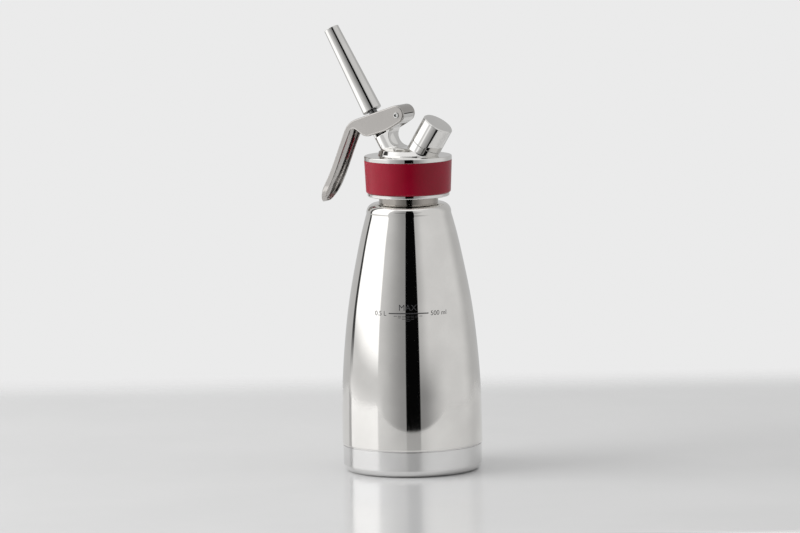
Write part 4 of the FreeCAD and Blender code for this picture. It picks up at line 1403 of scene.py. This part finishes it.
@dataclass
class Valve:
    """The valve's return spring; its other pieces are the frame's own."""

    bottom: float = 31.5
    top: float = 41.2
    radius: float = 3.95
    wire: float = 0.4
    turns: float = 4.4
    travel: float = 3.5
    steps: int = 40
    sides: int = 10

    def make(self) -> None:
        """Return spring round the spindle's axis."""
        centres = []
        count = int(self.turns * self.steps)
        for i in range(count + 1):
            share = i / count
            angle = 2 * math.pi * self.turns * share
            centres.append((self.radius * math.cos(angle), self.radius * math.sin(angle),
                            self.bottom + (self.top - self.bottom) * share, angle))
        points = []
        for x, y, z, angle in centres:
            for k in range(self.sides):
                turn = 2 * math.pi * k / self.sides
                out, up = self.wire * math.cos(turn), self.wire * math.sin(turn)
                points.append((x + out * math.cos(angle), y + out * math.sin(angle), z + up))
        faces = [list(range(self.sides))[::-1], [count * self.sides + k for k in range(self.sides)]]
        for i in range(count):
            for k in range(self.sides):
                n = (k + 1) % self.sides
                faces.append([i * self.sides + k, (i + 1) * self.sides + k, (i + 1) * self.sides + n,
                              i * self.sides + n][::-1])
        spring = piece_from("return_spring", np.array(points) * MM, faces)
        spring.data.transform(SPOUT.matrix())
        settle(spring, Finish.SPRING_STEEL, "head", "valve_spring")
        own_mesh(spring)


@dataclass
class Nozzle:
    """Long tapered nozzle."""

    bottom: float = 57.5
    length: float = 65.8
    base_radius: float = 7.05
    tip_radius: float = 5.4
    socket_radius: float = 4.1
    socket_depth: float = 9.0
    throat: float = 2.6
    mouth: float = 4.3
    mouth_length: float = 10.0
    sides: int = 128

    def make(self) -> None:
        """Builds the nozzle."""
        top = self.bottom + self.length
        socket_top = self.bottom + self.socket_depth
        outline = rounded([
            (self.socket_radius, self.bottom, 0.2),
            (self.base_radius, self.bottom, 0.3),
            (self.tip_radius, top, 0.3),
            (self.mouth, top, 0.3),
            (self.mouth, top - self.mouth_length, 0.3),
            (self.throat, socket_top, 0.2),
            (self.socket_radius, socket_top, 0.2),
        ])
        tube = turned("nozzle_tube", outline, SPOUT, self.sides)
        settle(tube, Finish.NOZZLE_STEEL, "nozzle", "nozzle")


@dataclass
class Cap:
    """Screw cap over the charger port."""

    radius: float = 11.1
    bottom: float = 28.5
    top: float = 46.8
    chamfer: float = 0.8
    bore: float = 9.8
    ceiling: float = 44.6
    sides: int = 160

    def make(self) -> None:
        """Builds the cap."""
        outline = rounded([
            (self.bore, self.bottom, 0.15),
            (self.radius, self.bottom, 0.3),
            (self.radius, self.top - self.chamfer, 0.3),
            (self.radius - self.chamfer, self.top, 0.3),
            (0.0, self.top, 0.0),
            (0.0, self.ceiling, 0.0),
            (self.bore, self.ceiling, 0.3),
        ])
        shell = turned("cap_shell", outline, PORT, self.sides)
        settle(shell, Finish.POLISHED_CAP, "cap", "port_cap")


def dress_frame() -> None:
    """Gives each of the frame's own nodes the finish of its record slot."""
    finishes = {finish.slot: finish for finish in Finish if finish.name not in SHARED_SLOTS}
    for entry in frame["record"]["subparts"]:
        node = frame["nodes"][entry["node"]]
        dress(node, finishes[entry["material_slot"]])
    # the neck ring gets the darkened steel that paints the recess's shade
    dress(frame["nodes"]["neck_ring"], Finish.NECK_STEEL)


# ---------------------------------------------------------------- studio
@dataclass(frozen=True)
class Card:
    """A bright or dark surface that stands in the studio and shows in the steel.

    Args:
        start: its left edge, in degrees from the camera, positive to the camera's right.
        end: its right edge.
        tone: its brightness.
        soft: widths of its left and right soft edges, in degrees.
        low: lowest elevation that it reaches, in degrees.
        high: highest elevation that it reaches.
    """

    start: float
    end: float
    tone: float
    soft: Point2
    low: float = -90.0
    high: float = 90.0

    SOFT_LOW = 2.0
    SOFT_HIGH = 4.0


@dataclass
class Studio:
    """Pale floor, soft surroundings and the camera."""

    azimuth: float = 30.0
    elevation: float = 6.8
    distance: float = 4192.0
    lens: float = 267.0
    aim_side: float = -6.85
    aim_height: float = 144.0
    roll: float = -0.95
    sensor: float = 36.0
    clip_end: float = 100.0
    room: float = 0.72
    ceiling: float = 0.98
    ceiling_rise: Point2 = (52.0, 66.0)
    backdrop: Colour = (0.83, 0.83, 0.83)
    lamp_turn: float = -80.0
    lamp_rise: float = 0.5
    lamp_size: float = 1.2
    lamp_distance: float = 1.6
    lamp_energy: float = 14.0
    floor_half: float = 1.5
    floor_tone: Colour = (0.80, 0.80, 0.80)
    floor_dull: float = 0.96
    floor_clouds: Point2 = (6.0, 4.0)
    floor_step: Point2 = (0.3, 0.7)
    floor_roughness: float = 0.16
    floor_gloss: float = 0.5
    floor_reach: tuple[Point2, Point2, Point2] = ((0.292, 0.315), (0.36, 0.50), (0.42, 0.62))
    cards: tuple[Card, ...] = (
        Card(-38.0, 0.0, 0.30, (54.0, 2.0)),
        Card(0.0, 24.0, 0.50, (2.0, 22.0)),
        Card(0.0, 40.0, 0.26, (2.0, 50.0), high=0.0),
        Card(112.0, 180.0, 0.52, (30.0, 0.0)),
        Card(-180.0, -124.0, 0.56, (0.0, 4.0)),
        Card(-128.5, -119.0, 0.05, (2.5, 2.5), low=-3.0),
        Card(-120.0, -58.5, 1.4, (2.5, 2.5), low=0.0),
        Card(-125.0, -52.0, 1.4, (12.0, 12.0), high=-7.0),
        Card(-44.0, 36.0, 0.03, (12.0, 12.0), low=28.0, high=32.0),
        Card(-9.5, 14.0, 0.002, (1.0, 1.0)),
        Card(-16.0, 14.0, 0.01, (5.0, 5.0), high=-22.0),
    )

    def camera_way(self) -> Vector:
        """Direction from the object to the camera."""
        a, e = math.radians(self.azimuth), math.radians(self.elevation)
        return Vector((math.sin(a) * math.cos(e), -math.cos(a) * math.cos(e), math.sin(e)))

    def make_camera(self) -> None:
        """Camera at the picture's angle."""
        a = math.radians(self.azimuth)
        side = Vector((math.cos(a), math.sin(a), 0)) * self.aim_side
        aim = (Vector((0, 0, self.aim_height)) + side) * MM
        data = bpy.data.cameras.new("camera")
        data.lens = self.lens
        data.sensor_width = self.sensor
        data.clip_end = self.clip_end
        camera = bpy.data.objects.new("camera", data)
        camera.location = aim + self.camera_way() * self.distance * MM
        look = (-self.camera_way()).to_track_quat("-Z", "Y").to_matrix()
        camera.rotation_euler = (look @ Matrix.Rotation(math.radians(self.roll), 3, "Z")).to_euler()
        bpy.context.scene.collection.objects.link(camera)
        bpy.context.scene.camera = camera

    def seen_from(self, graph: Graph, place: Value) -> tuple[Value, Value]:
        """Splits places by the camera's own place in the studio.

        Args:
            graph: the node tree.
            place: the places, or directions.

        Returns:
            How far each lies towards the camera's side of the studio, and to its right.
        """
        a = math.radians(self.azimuth)
        ahead = graph.vector("DOT_PRODUCT", place, (math.sin(a), -math.cos(a), 0.0), output=1)
        right = graph.vector("DOT_PRODUCT", place, (math.cos(a), math.sin(a), 0.0), output=1)
        return ahead, right

    def surroundings(self, graph: Graph) -> Value:
        """Brightness of the studio in each direction.

        Args:
            graph: the world's node tree.

        Returns:
            The brightness.
        """
        way = graph.node("ShaderNodeTexCoord", {}, {}, "Generated")
        ahead, right = self.seen_from(graph, way)
        up = graph.vector("DOT_PRODUCT", way, (0.0, 0.0, 1.0), output=1)
        turn = right.maths("ARCTAN2", ahead) * math.degrees(1)
        rise = up.maths("ARCSINE") * math.degrees(1)
        light = self.room
        for card in self.cards:
            first, last = card.soft[0] / 2, card.soft[1] / 2
            shape = turn.step(card.start - first, card.start + first) if card.start > -180.0 else 1.0
            if card.end < 180.0:
                shape = shape * (1.0 - turn.step(card.end - last, card.end + last))
            if card.low > -90.0:
                shape = shape * rise.step(card.low - card.SOFT_LOW, card.low + card.SOFT_LOW)
            if card.high < 90.0:
                shape = shape * (1.0 - rise.step(card.high - card.SOFT_HIGH, card.high + card.SOFT_HIGH))
            light = light * (1.0 - shape) + card.tone * shape
        overhead = rise.step(*self.ceiling_rise)
        return light * (1.0 - overhead) + self.ceiling * overhead

    def make_world(self) -> None:
        """World that lights the object and shows as a plain backdrop."""
        world = bpy.data.worlds.new("studio")
        world.use_nodes = True
        bpy.context.scene.world = world
        graph = Graph(world.node_tree)
        light = self.surroundings(graph)
        seen = graph.node("ShaderNodeLightPath", {}, {}, "Is Camera Ray")
        colour = graph.node("ShaderNodeCombineColor", {}, {0: light, 1: light, 2: light})
        shown = graph.mix(seen, colour, opaque(self.backdrop))
        surface = graph.node("ShaderNodeBackground", {}, {"Color": shown, "Strength": 1.0})
        graph.node("ShaderNodeOutputWorld", {}, {"Surface": surface})

    def make_floor(self) -> None:
        """Pale floor with a faint gloss, which fades out towards its edges."""
        square = np.array([(-1, -1, 0), (1, -1, 0), (1, 1, 0), (-1, 1, 0)], float)
        floor = piece_from("floor", self.floor_half * square, [[0, 1, 2, 3]])
        made, graph, place = blank_material("floor")
        clouds = graph.noise(place, *self.floor_clouds)
        dull = opaque(tuple(self.floor_dull * c for c in self.floor_tone))
        colour = graph.mix(clouds.step(*self.floor_step), dull, opaque(self.floor_tone))
        ahead, right = self.seen_from(graph, place)
        front, back, side = self.floor_reach
        left = right * -1.0
        alpha = 1.0
        for way, (start, end) in ((ahead, front), (ahead * -1.0, back), (right, side), (left, side)):
            alpha = (1.0 - way.step(start, end)) * alpha
        graph.principled({
            "Base Color": colour, "Roughness": self.floor_roughness, "Specular IOR Level": self.floor_gloss,
            "Alpha": alpha,
        })
        floor.data.materials.append(made)

    def make_lamp(self) -> None:
        """Large soft lamp on the camera's left."""
        a = math.radians(self.azimuth + self.lamp_turn)
        way = Vector((math.sin(a), -math.cos(a), self.lamp_rise)).normalized()
        data = bpy.data.lights.new("softbox", "AREA")
        data.size = self.lamp_size
        data.energy = self.lamp_energy
        lamp = bpy.data.objects.new("softbox", data)
        lamp.location = way * self.lamp_distance
        lamp.rotation_euler = way.to_track_quat("Z", "Y").to_euler()
        lamp.visible_glossy = False
        bpy.context.scene.collection.objects.link(lamp)

    def make(self) -> None:
        """Sets up the studio."""
        self.make_camera()
        self.make_world()
        self.make_floor()
        self.make_lamp()
        bpy.context.scene.view_settings.view_transform = "Standard"


def main() -> None:
    """Builds the dispenser and its studio in order."""
    logging.basicConfig(level=logging.INFO, format="%(message)s")
    dress_frame()
    flask = Flask()
    flask.make()
    FillMark(flask).make()
    Head().make()
    Lever().make()
    Valve().make()
    Nozzle().make()
    Cap().make()
    Studio().make()


def corners(box: Sequence[Vector]) -> list[list[float]]:
    """A box's two corners as plain numbers."""
    return [[float(c) for c in corner] for corner in box]


if __name__ == "__main__":
    main()
